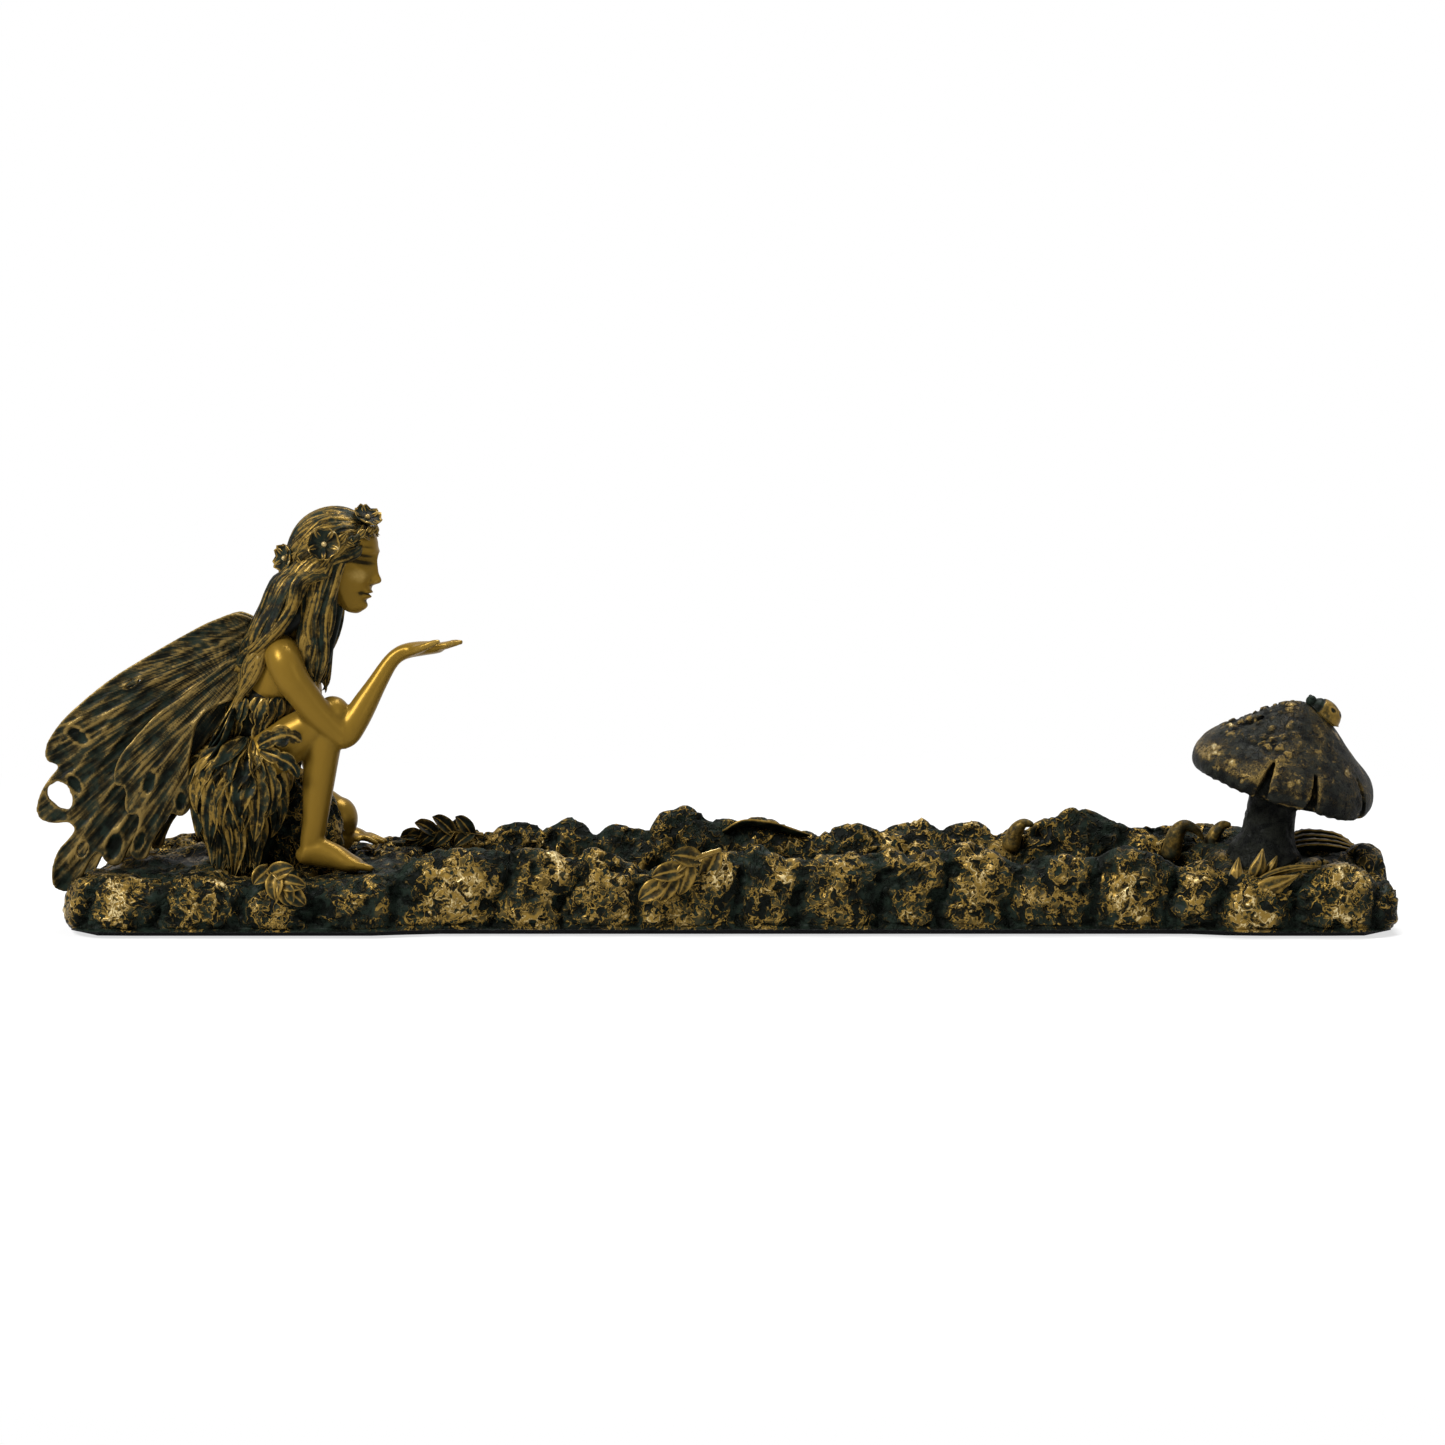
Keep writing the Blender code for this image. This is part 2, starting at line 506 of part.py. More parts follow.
SKIRT = (
    (-7.2, 0.0, 30.0, 8.8, 7.0), (-8.8, 0.0, 25.0, 12.2, 10.2), (-9.6, 0.0, 17.6, 14.0, 11.2), (-9.4, 0.0, 10.0, 12.0, 9.4),
    (-8.8, 0.0, 3.4, 9.4, 7.4), (-8.6, 0.0, -2.6, 8.4, 6.6),
)
HEAD_CENTRE = Vector((12.9, 0.0, 71.6))
HEAD_RADII = Vector((8.7, 7.7, 10.0))
HEAD_BOW_DEG = 9.0
JAW_CENTRE = Vector((14.4, 0.0, 64.8))
JAW_RADII = Vector((5.9, 5.6, 5.4))
NOSE = ((20.6, 0.0, 72.4, 0.6, 0.6), (21.4, 0.0, 70.2, 0.8, 0.9), (21.9, 0.0, 68.2, 1.1, 1.1), (20.4, 0.0, 67.2, 1.1, 0.7))
LIPS = ((18.9, -2.0, 64.5, 0.3, 0.4), (20.0, 0.0, 64.4, 0.8, 0.9), (18.9, 2.0, 64.5, 0.3, 0.4))
HAIR_CAP_CENTRE = Vector((10.9, 0.0, 72.8))
HAIR_CAP_RADII = Vector((9.9, 9.2, 9.7))
SEAT_ROCK_CENTRE = Vector((4.4, 0.5, 6.0))
SEAT_ROCK_RADII = Vector((9.0, 6.2, 15.0))
BREAST_CENTRE = Vector((3.6, 4.6, 42.0))
BREAST_RADII = Vector((4.4, 4.6, 4.4))

# Fingers from the knuckles of the raised hand, as offset across the palm and length, both in mm
FINGERS = ((-2.6, 5.6), (-0.9, 6.6), (0.9, 7.0), (2.6, 6.2))
KNUCKLES = Vector((35.0, -3.6, 50.9))


def raised_fingers():
    made = []
    for offset, length in FINGERS:
        y = KNUCKLES.y + offset
        rows = (
            (KNUCKLES.x - 2.0, y, KNUCKLES.z - 0.3, 0.7, 0.75),
            (KNUCKLES.x + length * 0.4, y + offset * 0.1, KNUCKLES.z + 0.4, 0.8, 0.75),
            (KNUCKLES.x + length * 0.8, y + offset * 0.16, KNUCKLES.z + 1.1, 0.7, 0.65),
            (KNUCKLES.x + length, y + offset * 0.18, KNUCKLES.z + 1.6, 0.4, 0.4),
        )
        made.append(("finger", limb(rows, sides=6, steps=1)))
    thumb = (
        (29.4, -6.4, 50.0, 1.1, 1.0), (32.0, -8.2, 51.0, 1.0, 1.0), (34.4, -8.8, 52.0, 0.8, 0.8), (36.2, -8.9, 52.4, 0.4, 0.4),
    )
    made.append(("thumb", limb(thumb, sides=6, steps=1)))
    return made


def head_parts():
    bow = Matrix.Rotation(math.radians(HEAD_BOW_DEG), 4, "Y")
    face_side = SIDE
    return [
        ("skull", ellipsoid(FIGURE_ORIGIN + HEAD_CENTRE * TABLE_UNIT, HEAD_RADII * TABLE_UNIT, bow, 3)),
        ("jaw", ellipsoid(FIGURE_ORIGIN + JAW_CENTRE * TABLE_UNIT, JAW_RADII * TABLE_UNIT, bow, 2)),
        ("nose", limb(NOSE, sides=6, steps=1, side=face_side)),
        ("lips", limb(LIPS, sides=6, steps=1, side=UP)),
        ("hair_cap", ellipsoid(FIGURE_ORIGIN + HAIR_CAP_CENTRE * TABLE_UNIT, HAIR_CAP_RADII * TABLE_UNIT, bow, 3)),
    ]


def figure_parts():
    """Every form of the figure, apart from the wings, the flowers and the skirt's leaves."""
    forms = (
        ("torso", TORSO), ("neck", NECK), ("near_thigh", NEAR_THIGH), ("near_shin", NEAR_SHIN), ("near_foot", NEAR_FOOT),
        ("far_thigh", FAR_THIGH), ("far_shin", FAR_SHIN), ("near_upper_arm", NEAR_UPPER_ARM),
        ("near_forearm", NEAR_FOREARM), ("far_upper_arm", FAR_UPPER_ARM), ("far_forearm", FAR_FOREARM),
    )
    made = [(name, limb(rows)) for name, rows in forms]
    made.append(("skirt", limb(SKIRT, sides=16)))
    made.append(("hair_fall", limb(HAIR_FALL, sides=18, ripples=9, ripple_depth=0.06)))
    for name, rows in (("near_front_lock", NEAR_FRONT_LOCK), ("far_front_lock", FAR_FRONT_LOCK)):
        made.append((name, limb(rows, sides=10, ripples=5, ripple_depth=0.12)))
    for direction in (-1, 1):
        centre = Vector((BREAST_CENTRE.x, BREAST_CENTRE.y * direction, BREAST_CENTRE.z))
        made.append(("breast", ellipsoid(FIGURE_ORIGIN + centre * TABLE_UNIT, BREAST_RADII * TABLE_UNIT)))
    made.append(("seat_rock", ellipsoid(FIGURE_ORIGIN + SEAT_ROCK_CENTRE * TABLE_UNIT, SEAT_ROCK_RADII * TABLE_UNIT)))
    return made + head_parts() + raised_fingers()


# Leaves of the skirt: angle round the waist from +X in degrees, length and half width in mm
SKIRT_LEAVES = (
    (-38, 17, 3.2), (-65, 23, 3.8), (-92, 28, 4.2), (-120, 26, 4.2), (-148, 29, 4.4), (-176, 25, 4.4),
    (156, 29, 4.4), (128, 25, 4.2), (100, 28, 4.2), (72, 22, 3.8), (45, 17, 3.2),
)
WAIST = Vector((-7.6, 0.0, 29.5))
WAIST_RADII = (6.4, 8.2)
HIP_RADII = (11.8, 14.2)
HEM_RADII = (11.4, 13.0)


def skirt_leaves():
    made = []
    for turn_deg, length, half_width in SKIRT_LEAVES:
        turn = math.radians(turn_deg)
        out = (math.cos(turn), math.sin(turn))
        rows = []
        for radii, share, width in ((WAIST_RADII, 0.0, 0.35), (HIP_RADII, 0.30, 1.0), (HIP_RADII, 0.66, 0.95), (HEM_RADII, 1.0, 0.1)):
            rows.append((
                WAIST.x - 1.8 * share + out[0] * radii[0], out[1] * radii[1], WAIST.z - share * length, half_width * width,
            ))
        side = Vector((-out[1], out[0], 0.0))
        made.append(("skirt_leaf", leaf(FIGURE_ORIGIN, rows, side, Vector((*out, 0.0)), 3.0)))
    return made


# Flowers on the hair band: place in mm from the figure's point, and the way each one faces
FLOWERS = (
    (Vector((10.6, -9.4, 73.4)), Vector((0.1, -1.0, 0.12))),
    (Vector((18.6, -1.6, 81.0)), Vector((0.55, -0.25, 0.9))),
    (Vector((1.9, -4.4, 71.0)), Vector((-1.0, -0.45, 0.1))),
    (Vector((10.6, 9.4, 73.4)), Vector((0.1, 1.0, 0.12))),
)


def flowers():
    made = []
    for place, facing in FLOWERS:
        bm = bmesh.new()
        turn = facing.to_track_quat("Z", "Y").to_matrix().to_4x4()
        frame = Matrix.Translation(FIGURE_ORIGIN + place * TABLE_UNIT) @ turn
        rings = []
        for reach, height in ((0.45, -1.4), (1.0, 0.1), (0.35, 0.4)):
            rings.append([
                frame @ Vector((
                    FLOWER_RADIUS * reach * (1 + 0.16 * math.cos(5 * a)) * math.cos(a),
                    FLOWER_RADIUS * reach * (1 + 0.16 * math.cos(5 * a)) * math.sin(a),
                    height * TABLE_UNIT,
                ))
                for a in (2 * math.pi * k / 10 for k in range(10))
            ])
        loft(bm, rings)
        made.append(("flower", bm))
    return made


# Wings, as (x, z) in mm from the figure's point, for the upper and the lower wing of one side
UPPER_WING = (
    (-6.0, 57.0), (-10.0, 58.0), (-19.4, 52.8), (-29.4, 47.0), (-39.4, 41.0), (-48.2, 34.2), (-53.2, 27.2), (-52.8, 25.0),
    (-50.4, 24.0), (-53.2, 20.4), (-55.0, 16.4), (-55.4, 13.6), (-53.4, 11.4), (-48.4, 11.0), (-47.2, 9.0), (-50.0, 5.4),
    (-51.8, 0.4), (-50.6, -4.0), (-47.4, -4.4), (-45.6, -1.2), (-43.0, 4.0), (-39.6, 2.0), (-36.4, 2.6), (-33.0, 8.0),
    (-26.0, 13.0), (-17.0, 30.0), (-6.0, 44.0),
)
UPPER_WING_HOLES = (
    ((-50.1, 17.4), 2.2, 3.3, 35.0),
    ((-33.6, 41.8), 2.2, 0.55, 32.0),
)
LOWER_WING = (
    (-6.0, 49.0), (-11.0, 48.4), (-22.0, 40.0), (-30.6, 32.6), (-36.0, 25.6), (-37.4, 21.6), (-36.2, 19.4), (-34.6, 21.0),
    (-35.2, 15.6), (-33.6, 13.0), (-32.0, 14.4), (-34.2, 4.6), (-32.6, 2.6), (-30.4, 3.4), (-29.2, 7.4), (-26.2, 11.4),
    (-25.0, 13.4), (-23.0, 12.2), (-21.0, 14.4), (-20.6, 21.0), (-20.0, 28.6), (-17.0, 36.4), (-6.0, 42.0),
)
LOWER_WING_HOLES = ()

# Veins as points from the root outwards, in the wing's own plane
UPPER_VEINS = (
    ((-8.0, 56.6), (-22.0, 50.4), (-38.0, 41.0), (-47.6, 33.4), (-52.6, 26.4)),
    ((-8.0, 54.0), (-22.0, 46.0), (-36.0, 36.4), (-46.0, 27.6)),
    ((-8.0, 52.0), (-22.0, 41.0), (-36.0, 27.0), (-47.6, 12.6)),
    ((-8.0, 50.0), (-22.0, 35.0), (-35.0, 19.0), (-47.6, 0.0)),
)
LOWER_VEINS = (
    ((-8.0, 48.2), (-21.0, 39.8), (-30.0, 32.2), (-36.2, 22.2)),
    ((-8.0, 46.4), (-20.0, 35.4), (-29.0, 24.0), (-34.0, 14.8)),
    ((-8.0, 45.0), (-19.0, 32.0), (-26.0, 20.0), (-32.4, 4.4)),
    ((-8.0, 44.0), (-17.6, 31.0), (-21.4, 21.0), (-23.2, 13.8)),
)


WING_ROOT_X = -6.0


def wing_frame(splay_deg, direction):
    """From the wing's own XZ plane to its place: slanted out from the back, so its side view keeps its outline."""
    outwards = -math.tan(math.radians(splay_deg)) * direction
    slant = Matrix(((1, 0, 0, 0), (outwards, 1, 0, 0), (0, 0, 1, 0), (0, 0, 0, 1)))
    root = Vector((WING_ROOT_X * TABLE_UNIT, direction * WING_ROOT_HALF_GAP, 0.0))
    return Matrix.Translation(FIGURE_ORIGIN + root) @ slant @ Matrix.Translation(Vector((-root.x, 0.0, 0.0)))


def wing_plate(outline, holes):
    """The wing's plate with its holes, from a filled flat curve that is turned into a mesh."""
    curve = bpy.data.curves.new("wing", "CURVE")
    curve.dimensions = "2D"
    curve.fill_mode = "BOTH"
    curve.extrude = WING_THICKNESS / 2
    loops = [[(x * TABLE_UNIT, z * TABLE_UNIT) for x, z in outline]]
    for (x, z), wide, tall, tilt_deg in holes:
        tilt = math.radians(tilt_deg)
        loops.append([
            (
                (x + wide * math.cos(a) * math.cos(tilt) - tall * math.sin(a) * math.sin(tilt)) * TABLE_UNIT,
                (z + wide * math.cos(a) * math.sin(tilt) + tall * math.sin(a) * math.cos(tilt)) * TABLE_UNIT,
            )
            for a in (2 * math.pi * k / 12 for k in range(12))
        ])
    for loop in loops:
        spline = curve.splines.new("POLY")
        spline.points.add(len(loop) - 1)
        spline.use_cyclic_u = True
        for point, (x, z) in zip(spline.points, loop):
            point.co = (x, z, 0.0, 1.0)
    holder = bpy.data.objects.new("wing", curve)
    bpy.context.scene.collection.objects.link(holder)
    mesh = bpy.data.meshes.new_from_object(holder.evaluated_get(bpy.context.evaluated_depsgraph_get()))
    bm = bmesh.new()
    bm.from_mesh(mesh)
    bmesh.ops.remove_doubles(bm, verts=bm.verts, dist=0.01 * TABLE_UNIT)
    bmesh.ops.rotate(bm, matrix=Matrix.Rotation(math.radians(90), 3, "X"), verts=bm.verts)
    bpy.data.objects.remove(holder, do_unlink=True)
    return bm


def wings():
    made = []
    for direction in (-1, 1):
        for outline, holes, veins, splay in (
            (UPPER_WING, UPPER_WING_HOLES, UPPER_VEINS, UPPER_WING_SPLAY_DEG),
            (LOWER_WING, LOWER_WING_HOLES, LOWER_VEINS, LOWER_WING_SPLAY_DEG),
        ):
            frame = wing_frame(splay, direction)
            plate = wing_plate(outline, holes)
            bmesh.ops.transform(plate, matrix=frame, verts=plate.verts)
            made.append(("wing_plate", plate))
            for vein in veins:
                count = len(vein) - 1
                rows = [
                    (x, 0.0, z, (1.3 - 0.6 * k / count) * VEIN_RADIUS / TABLE_UNIT, (1.1 - 0.5 * k / count) * VEIN_RADIUS / TABLE_UNIT)
                    for k, (x, z) in enumerate(vein)
                ]
                tube = limb(rows, sides=4, steps=1, origin=Vector())
                bmesh.ops.transform(tube, matrix=frame, verts=tube.verts)
                made.append(("wing_vein", tube))
    return made


def rock_point(x, around):
    """A point on the rock's surface at x, around its section by index from the near bottom edge, in mm."""
    points = half_section(x, -1) + half_section(x, 1)[::-1]
    low = min(int(around), len(points) - 2)
    share = around - low
    y = points[low][0] + (points[low + 1][0] - points[low][0]) * share
    z = points[low][1] + (points[low + 1][1] - points[low][1]) * share
    return Vector((x, y, z)) / TABLE_UNIT


# Leaves that lie on the rock. Each has where it starts (the share of the trough's length, below 0 at the
# figure and above 1 at the mushroom), the way its width runs, its lobes, and its rows of
# (mm along the base, place round the section, lift and half width in mm).
ROCK_LEAVES = (
    ("near_rim_leaf", 0.28, (0.4, 0.0, 1.0), 3.0,
     ((13.0, 5.0, 0.2, 0.6), (8.0, 3.9, 0.6, 3.4), (1.0, 3.1, 0.6, 4.6), (-6.4, 1.9, 0.5, 0.4))),
    ("figure_leaf", -0.17, (1.0, 0.0, 0.3), 3.0,
     ((-3.0, 5.2, 0.0, 0.6), (-1.0, 3.9, 0.8, 3.8), (2.0, 2.8, 1.2, 4.4), (6.0, 1.4, 1.0, 0.4))),
    ("mushroom_leaf", 1.06, (0.0, 0.0, 1.0), 2.0,
     ((-8.0, 1.7, 0.3, 0.5), (-4.0, 2.6, 0.7, 2.8), (2.0, 3.5, 0.4, 3.0), (8.0, 3.7, 0.3, 0.4))),
    ("mushroom_bract", 1.05, (1.0, 0.0, 0.0), 1.0,
     ((0.4, 3.0, 0.0, 0.9), (-0.4, 3.9, 0.9, 2.6), (-1.4, 5.0, 1.9, 0.5))),
    ("far_rim_leaf", 0.045, (0.0, 1.0, -0.4), 3.0,
     ((12.0, 11.3, 0.2, 0.6), (6.0, 11.1, 0.7, 4.4), (-2.0, 11.1, 0.7, 4.2), (-8.0, 11.3, 0.2, 0.4))),
    ("far_rim_bark", 0.39, (0.0, 1.0, -0.2), 1.0,
     ((0.0, 11.0, 0.2, 1.2), (7.0, 10.8, 0.7, 3.6), (17.0, 11.0, 0.4, 1.8))),
    ("end_twigs", 1.13, (0.0, 1.0, -0.3), 2.0,
     ((0.0, 11.0, 0.3, 1.4), (6.0, 11.1, 0.6, 3.4), (13.0, 11.3, 0.6, 3.2), (17.0, 11.5, 0.2, 1.0))),
)


def rock_leaves():
    made = []
    for name, share, side, lobes, places in ROCK_LEAVES:
        start = TROUGH_START + (TROUGH_END - TROUGH_START) * share
        rows = []
        for along, around, lift, half_width in places:
            point = rock_point(start + along * TABLE_UNIT, around)
            outward = Vector((0.0, point.y * 0.5, point.z)).normalized()
            rows.append((point.x, point.y + outward.y * lift, point.z + outward.z * lift, half_width))
        made.append((name, leaf(Vector(), rows, Vector(side), outward, lobes)))
    return made


def end_boulder():
    """The upright boulder at the mushroom's end of the base."""
    centre = Vector((BASE_RIGHT - END_BOULDER_FROM_END, 0.002, MUSHROOM_ROCK_TOP * 0.64))
    return ellipsoid(centre, (END_BOULDER_FROM_END - 0.0003, TROUGH_HALF_WIDTH * 0.39, MUSHROOM_ROCK_TOP * 0.46))


def casting(finish, scene_collection):
    """The rock with every other form joined to it by one union, and the hole and the splits cut out."""
    forms = bpy.data.collections.new("forms")
    cutters = bpy.data.collections.new("cutters")
    for group in (forms, cutters):
        scene_collection.children.link(group)
    parts = (
        figure_parts() + skirt_leaves() + flowers() + wings() + rock_leaves()
        + [("end_boulder", end_boulder())]
        + [("cap", mushroom_cap()), ("stem", mushroom_stem()), ("beetle_shell", beetle_shell()), ("beetle_head", beetle_head())]
    )
    for name, bm in parts:
        add_object("form_" + name, bm, finish, forms)
    for turn_deg in (-112.0, -80.0):
        add_object("cutter_split", cap_split(turn_deg), finish, cutters)
    add_object("cutter_stick_hole", stick_hole(), finish, cutters)
    body = add_object("fairy_casting", rock_base(), finish, scene_collection)
    for group, operation in ((forms, "UNION"), (cutters, "DIFFERENCE")):
        for helper in group.objects:
            helper.hide_render = True
            helper.display_type = "WIRE"
        cut = body.modifiers.new(operation.lower(), "BOOLEAN")
        cut.operation = operation
        cut.operand_type = "COLLECTION"
        cut.collection = group
        cut.solver = "MANIFOLD"  # the exact solver leaves open edges where so many forms meet
    return body


def main():
    clear_scene()
    bronze = material("bronze_patina", (0.17, 0.13, 0.05), 0.45, 0.7)
    felt = material("black_felt", (0.012, 0.012, 0.014), 0.95, 0.0)
    collection = bpy.context.scene.collection
    casting(bronze, collection)
    felt_pad(felt, collection)


main()
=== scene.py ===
"""Looks of the incense holder: carved rock, fairy, wings and mushroom in patinated bronze.

Tables are in millimetres. The figure's are counted from the point on the rock under its seat.
Each piece carries a relief attribute, 0 in its hollows and 1 on its high points, which the patina reads. On
the rock and the figure it is also lowered where they sit, as painted shade, and on the mushroom it is raised
along the left of the cap's rim, as a painted highlight.
"""

import json
import math

import bmesh
import bpy
import numpy as np
from mathutils import Matrix, Vector

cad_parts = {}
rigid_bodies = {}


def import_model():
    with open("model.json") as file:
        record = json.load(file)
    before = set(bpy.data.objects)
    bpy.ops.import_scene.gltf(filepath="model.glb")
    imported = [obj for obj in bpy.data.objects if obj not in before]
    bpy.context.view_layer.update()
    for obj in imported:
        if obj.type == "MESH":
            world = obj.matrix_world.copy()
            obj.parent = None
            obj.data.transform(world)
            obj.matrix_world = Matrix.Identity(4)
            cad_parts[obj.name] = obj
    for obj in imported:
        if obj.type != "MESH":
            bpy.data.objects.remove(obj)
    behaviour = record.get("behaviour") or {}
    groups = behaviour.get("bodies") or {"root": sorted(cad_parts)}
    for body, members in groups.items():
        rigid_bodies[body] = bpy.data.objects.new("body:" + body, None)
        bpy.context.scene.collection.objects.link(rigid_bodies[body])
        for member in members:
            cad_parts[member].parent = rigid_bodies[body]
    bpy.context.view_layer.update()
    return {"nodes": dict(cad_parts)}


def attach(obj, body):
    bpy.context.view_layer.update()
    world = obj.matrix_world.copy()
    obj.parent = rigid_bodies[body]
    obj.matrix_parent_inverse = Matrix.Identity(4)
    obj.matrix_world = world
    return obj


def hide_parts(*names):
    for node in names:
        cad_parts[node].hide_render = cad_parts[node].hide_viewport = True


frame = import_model()
MM = 0.001
FIGURE = np.array((-100.0, 0.0, 13.5))
SCENE = bpy.context.scene


# Noise


def chance(cell, salt):
    """A repeatable number from 0 to 1 for each whole-numbered cell."""
    x, y, z = (cell[..., k] for k in range(3))
    n = (x * 73856093) ^ (y * 19349663) ^ (z * 83492791) ^ (salt * 40503 + 977)
    n = ((n & 0xFFFFFFFF) ^ ((n & 0xFFFFFFFF) >> 13)) * 1274126177 & 0xFFFFFFFF
    n = (n ^ (n >> 15)) * 73244475 & 0xFFFFFFFF
    return ((n ^ (n >> 16)) & 0xFFFFFFFF) / 4294967295.0


def bumps(points, size, salt=0):
    """Smooth noise from -1 to 1 with bumps about as wide as size."""
    p = points / size
    low = np.floor(p).astype(np.int64)
    f = p - low
    f = f * f * (3 - 2 * f)
    total = 0
    for dx in (0, 1):
        for dy in (0, 1):
            for dz in (0, 1):
                share = (f[..., 0] if dx else 1 - f[..., 0]) * (f[..., 1] if dy else 1 - f[..., 1])
                share = share * (f[..., 2] if dz else 1 - f[..., 2])
                total = total + share * chance(low + np.array((dx, dy, dz)), salt)
    return total * 2 - 1


def rough(points, size, layers=3, salt=0):
    """Noise in layers, each half as wide and half as high as the one before."""
    total = 0
    for k in range(layers):
        total = total + bumps(points, size / 2**k, salt + 7 * k) / 2**k
    return total / (2 - 0.5 ** (layers - 1))


def pebbles(points, size, salt=0):
    """Cells: how far the nearest centre is, how much further the next is, and the nearest cell's number."""
    p = points / size
    low = np.floor(p).astype(np.int64)
    first = np.full(p.shape[:-1], 9.0)
    second = first.copy()
    who = np.zeros_like(first)
    for dx in (-1, 0, 1):
        for dy in (-1, 0, 1):
            for dz in (-1, 0, 1):
                cell = low + np.array((dx, dy, dz))
                centre = cell + np.stack([chance(cell, salt + k) for k in range(3)], axis=-1)
                far = np.linalg.norm(p - centre, axis=-1)
                near = far < first
                second = np.where(near, first, np.minimum(second, far))
                who = np.where(near, chance(cell, salt + 3), who)
                first = np.minimum(first, far)
    return first, second - first, who


def ease(value, start, end):
    """From 0 at the start to 1 at the end, with soft ends."""
    share = np.clip((value - start) / (end - start), 0, 1)
    return share * share * (3 - 2 * share)


def spline_point(a, b, c, d, t):
    """The Catmull-Rom point at t between b and c."""
    return 0.5 * (2 * b + (c - a) * t + (2 * a - 5 * b + 4 * c - d) * t**2 + (3 * b - a - 3 * c + d) * t**3)


def curve_through(rows, steps):
    """Catmull-Rom stations through rows of numbers."""
    rows = np.asarray(rows, float)
    padded = np.vstack((rows[:1], rows, rows[-1:]))
    made = []
    for i in range(len(rows) - 1):
        a, b, c, d = padded[i : i + 4]
        made.extend(spline_point(a, b, c, d, t) for t in np.arange(steps) / steps)
    made.append(rows[-1])
    return np.array(made)


# Meshes


def sheet_of(bm, points, relief=None, grain=None):
    """A grid laid on points of shape (rows, columns, 3). Its vertices keep the relief and the grain."""
    rows, columns = points.shape[:2]
    bmesh.ops.create_grid(bm, x_segments=columns - 1, y_segments=rows - 1, size=1.0)
    layer = bm.verts.layers.float.get("relief") or bm.verts.layers.float.new("relief")
    strands = bm.verts.layers.float_vector.get("grain") or bm.verts.layers.float_vector.new("grain")
    if relief is None:
        relief = np.full((rows, columns), 0.5)
    if grain is None:
        grain = np.zeros((rows, columns, 3))
    verts = list(bm.verts)[-rows * columns :]
    values = zip(verts, points.reshape(-1, 3).tolist(), relief.reshape(-1).tolist(),
                 grain.reshape(-1, 3).tolist())
    for vert, place, level, strand in values:
        vert.co = place
        vert[layer] = level
        vert[strands] = strand


def closed_form(points):
    """A grid that runs round a form, with its seam closed and one point at each end."""
    points[:, -1] = points[:, 0]
    for end in (0, -1):
        points[end] = points[end].mean(axis=0)
    return points


def round_grid(rows, columns):
    """x, y and z of a unit ball's grid, from its top to its bottom."""
    up = np.linspace(0, math.pi, rows)[:, None]
    around = np.linspace(0, 2 * math.pi, columns)[None, :]
    return np.sin(up) * np.cos(around), np.sin(up) * np.sin(around), np.cos(up) + 0 * around


def unit(v):
    return v / np.maximum(np.linalg.norm(v, axis=-1, keepdims=True), 1e-9)


def frames_along(centres, side):
    """Unit vectors across and over a line, for each of its points. Across leans to the side."""
    tangent = unit(np.gradient(centres, axis=0))
    side = np.broadcast_to(np.asarray(side, float), centres.shape)
    across = unit(side - tangent * np.sum(side * tangent, axis=1, keepdims=True))
    return across, np.cross(across, tangent)


def tube(bm, centres, wide, deep, side=(0.0, 1.0, 0.0), sides=16, grooves=0, groove_depth=0.0, level=0.5,
         strands=0.0):
    """A closed form along centres, in metres. Grooves run lengthways, and the relief is low in them."""
    centres = np.asarray(centres, float)
    across, over = frames_along(centres, side)
    turn = np.linspace(0, 2 * math.pi, sides + 1)
    wave = np.cos(grooves * turn) if grooves else np.zeros(sides + 1)
    swell = 1 + groove_depth * wave
    ring = across[:, None] * (np.asarray(wide)[:, None] * swell * np.cos(turn))[..., None]
    ring = ring + over[:, None] * (np.asarray(deep)[:, None] * swell * np.sin(turn))[..., None]
    ring[:, -1] = ring[:, 0]
    relief = np.broadcast_to(level + 0.12 * wave if grooves else np.full(sides + 1, level),
                             (len(centres), sides + 1))
    run = np.concatenate(([0.0], np.cumsum(np.linalg.norm(np.diff(centres, axis=0), axis=1)))) / MM
    grain = np.stack(np.broadcast_arrays(strands * np.cos(turn)[None], strands * np.sin(turn)[None],
                                         run[:, None] / 5.0), axis=-1)
    grain = grain + (centres[0] / MM * 1.7 if strands else 0.0)
    sheet_of(bm, centres[:, None] + ring, relief, grain * bool(strands))


def form(bm, rows, steps=6, sides=24, side=(0.0, 1.0, 0.0), origin=FIGURE, roundness=0.7, level=0.5):
    """A rounded form through rows of x, y, z, half width and half depth, all in mm from the origin."""
    stations = curve_through(rows, steps)
    tangent = unit(np.gradient(stations[:, :3], axis=0))
    ends = []
    for station, way in ((stations[0], -tangent[0]), (stations[-1], tangent[-1])):
        cap = []
        for turn in np.radians((32, 60, 80, 90)):
            ring = station.copy()
            ring[:3] += way * station[3:5].min() * roundness * math.sin(turn)
            ring[3:5] *= math.cos(turn)
            cap.append(ring)
        ends.append(cap)
    stations = np.vstack((ends[0][::-1], stations, ends[1]))
    tube(bm, (stations[:, :3] + origin) * MM, stations[:, 3] * MM, stations[:, 4] * MM, side, sides,
         level=level)


def ball(bm, centre, radii, turn=Matrix.Identity(4), detail=4, level=0.0):
    place = Matrix.Translation(Vector(centre) * MM) @ turn @ Matrix.Diagonal((*[r * MM for r in radii], 1.0))
    layer = bm.verts.layers.float.get("relief") or bm.verts.layers.float.new("relief")
    for vert in bmesh.ops.create_icosphere(bm, subdivisions=detail, radius=1.0, matrix=place)["verts"]:
        vert[layer] = level


def closed_up(bm):
    bmesh.ops.remove_doubles(bm, verts=bm.verts, dist=1e-6)
    bmesh.ops.recalc_face_normals(bm, faces=bm.faces)
    return bm


def mesh_of(bm, name):
    mesh = bpy.data.meshes.new(name)
    bm.to_mesh(mesh)
    bm.free()
    return mesh


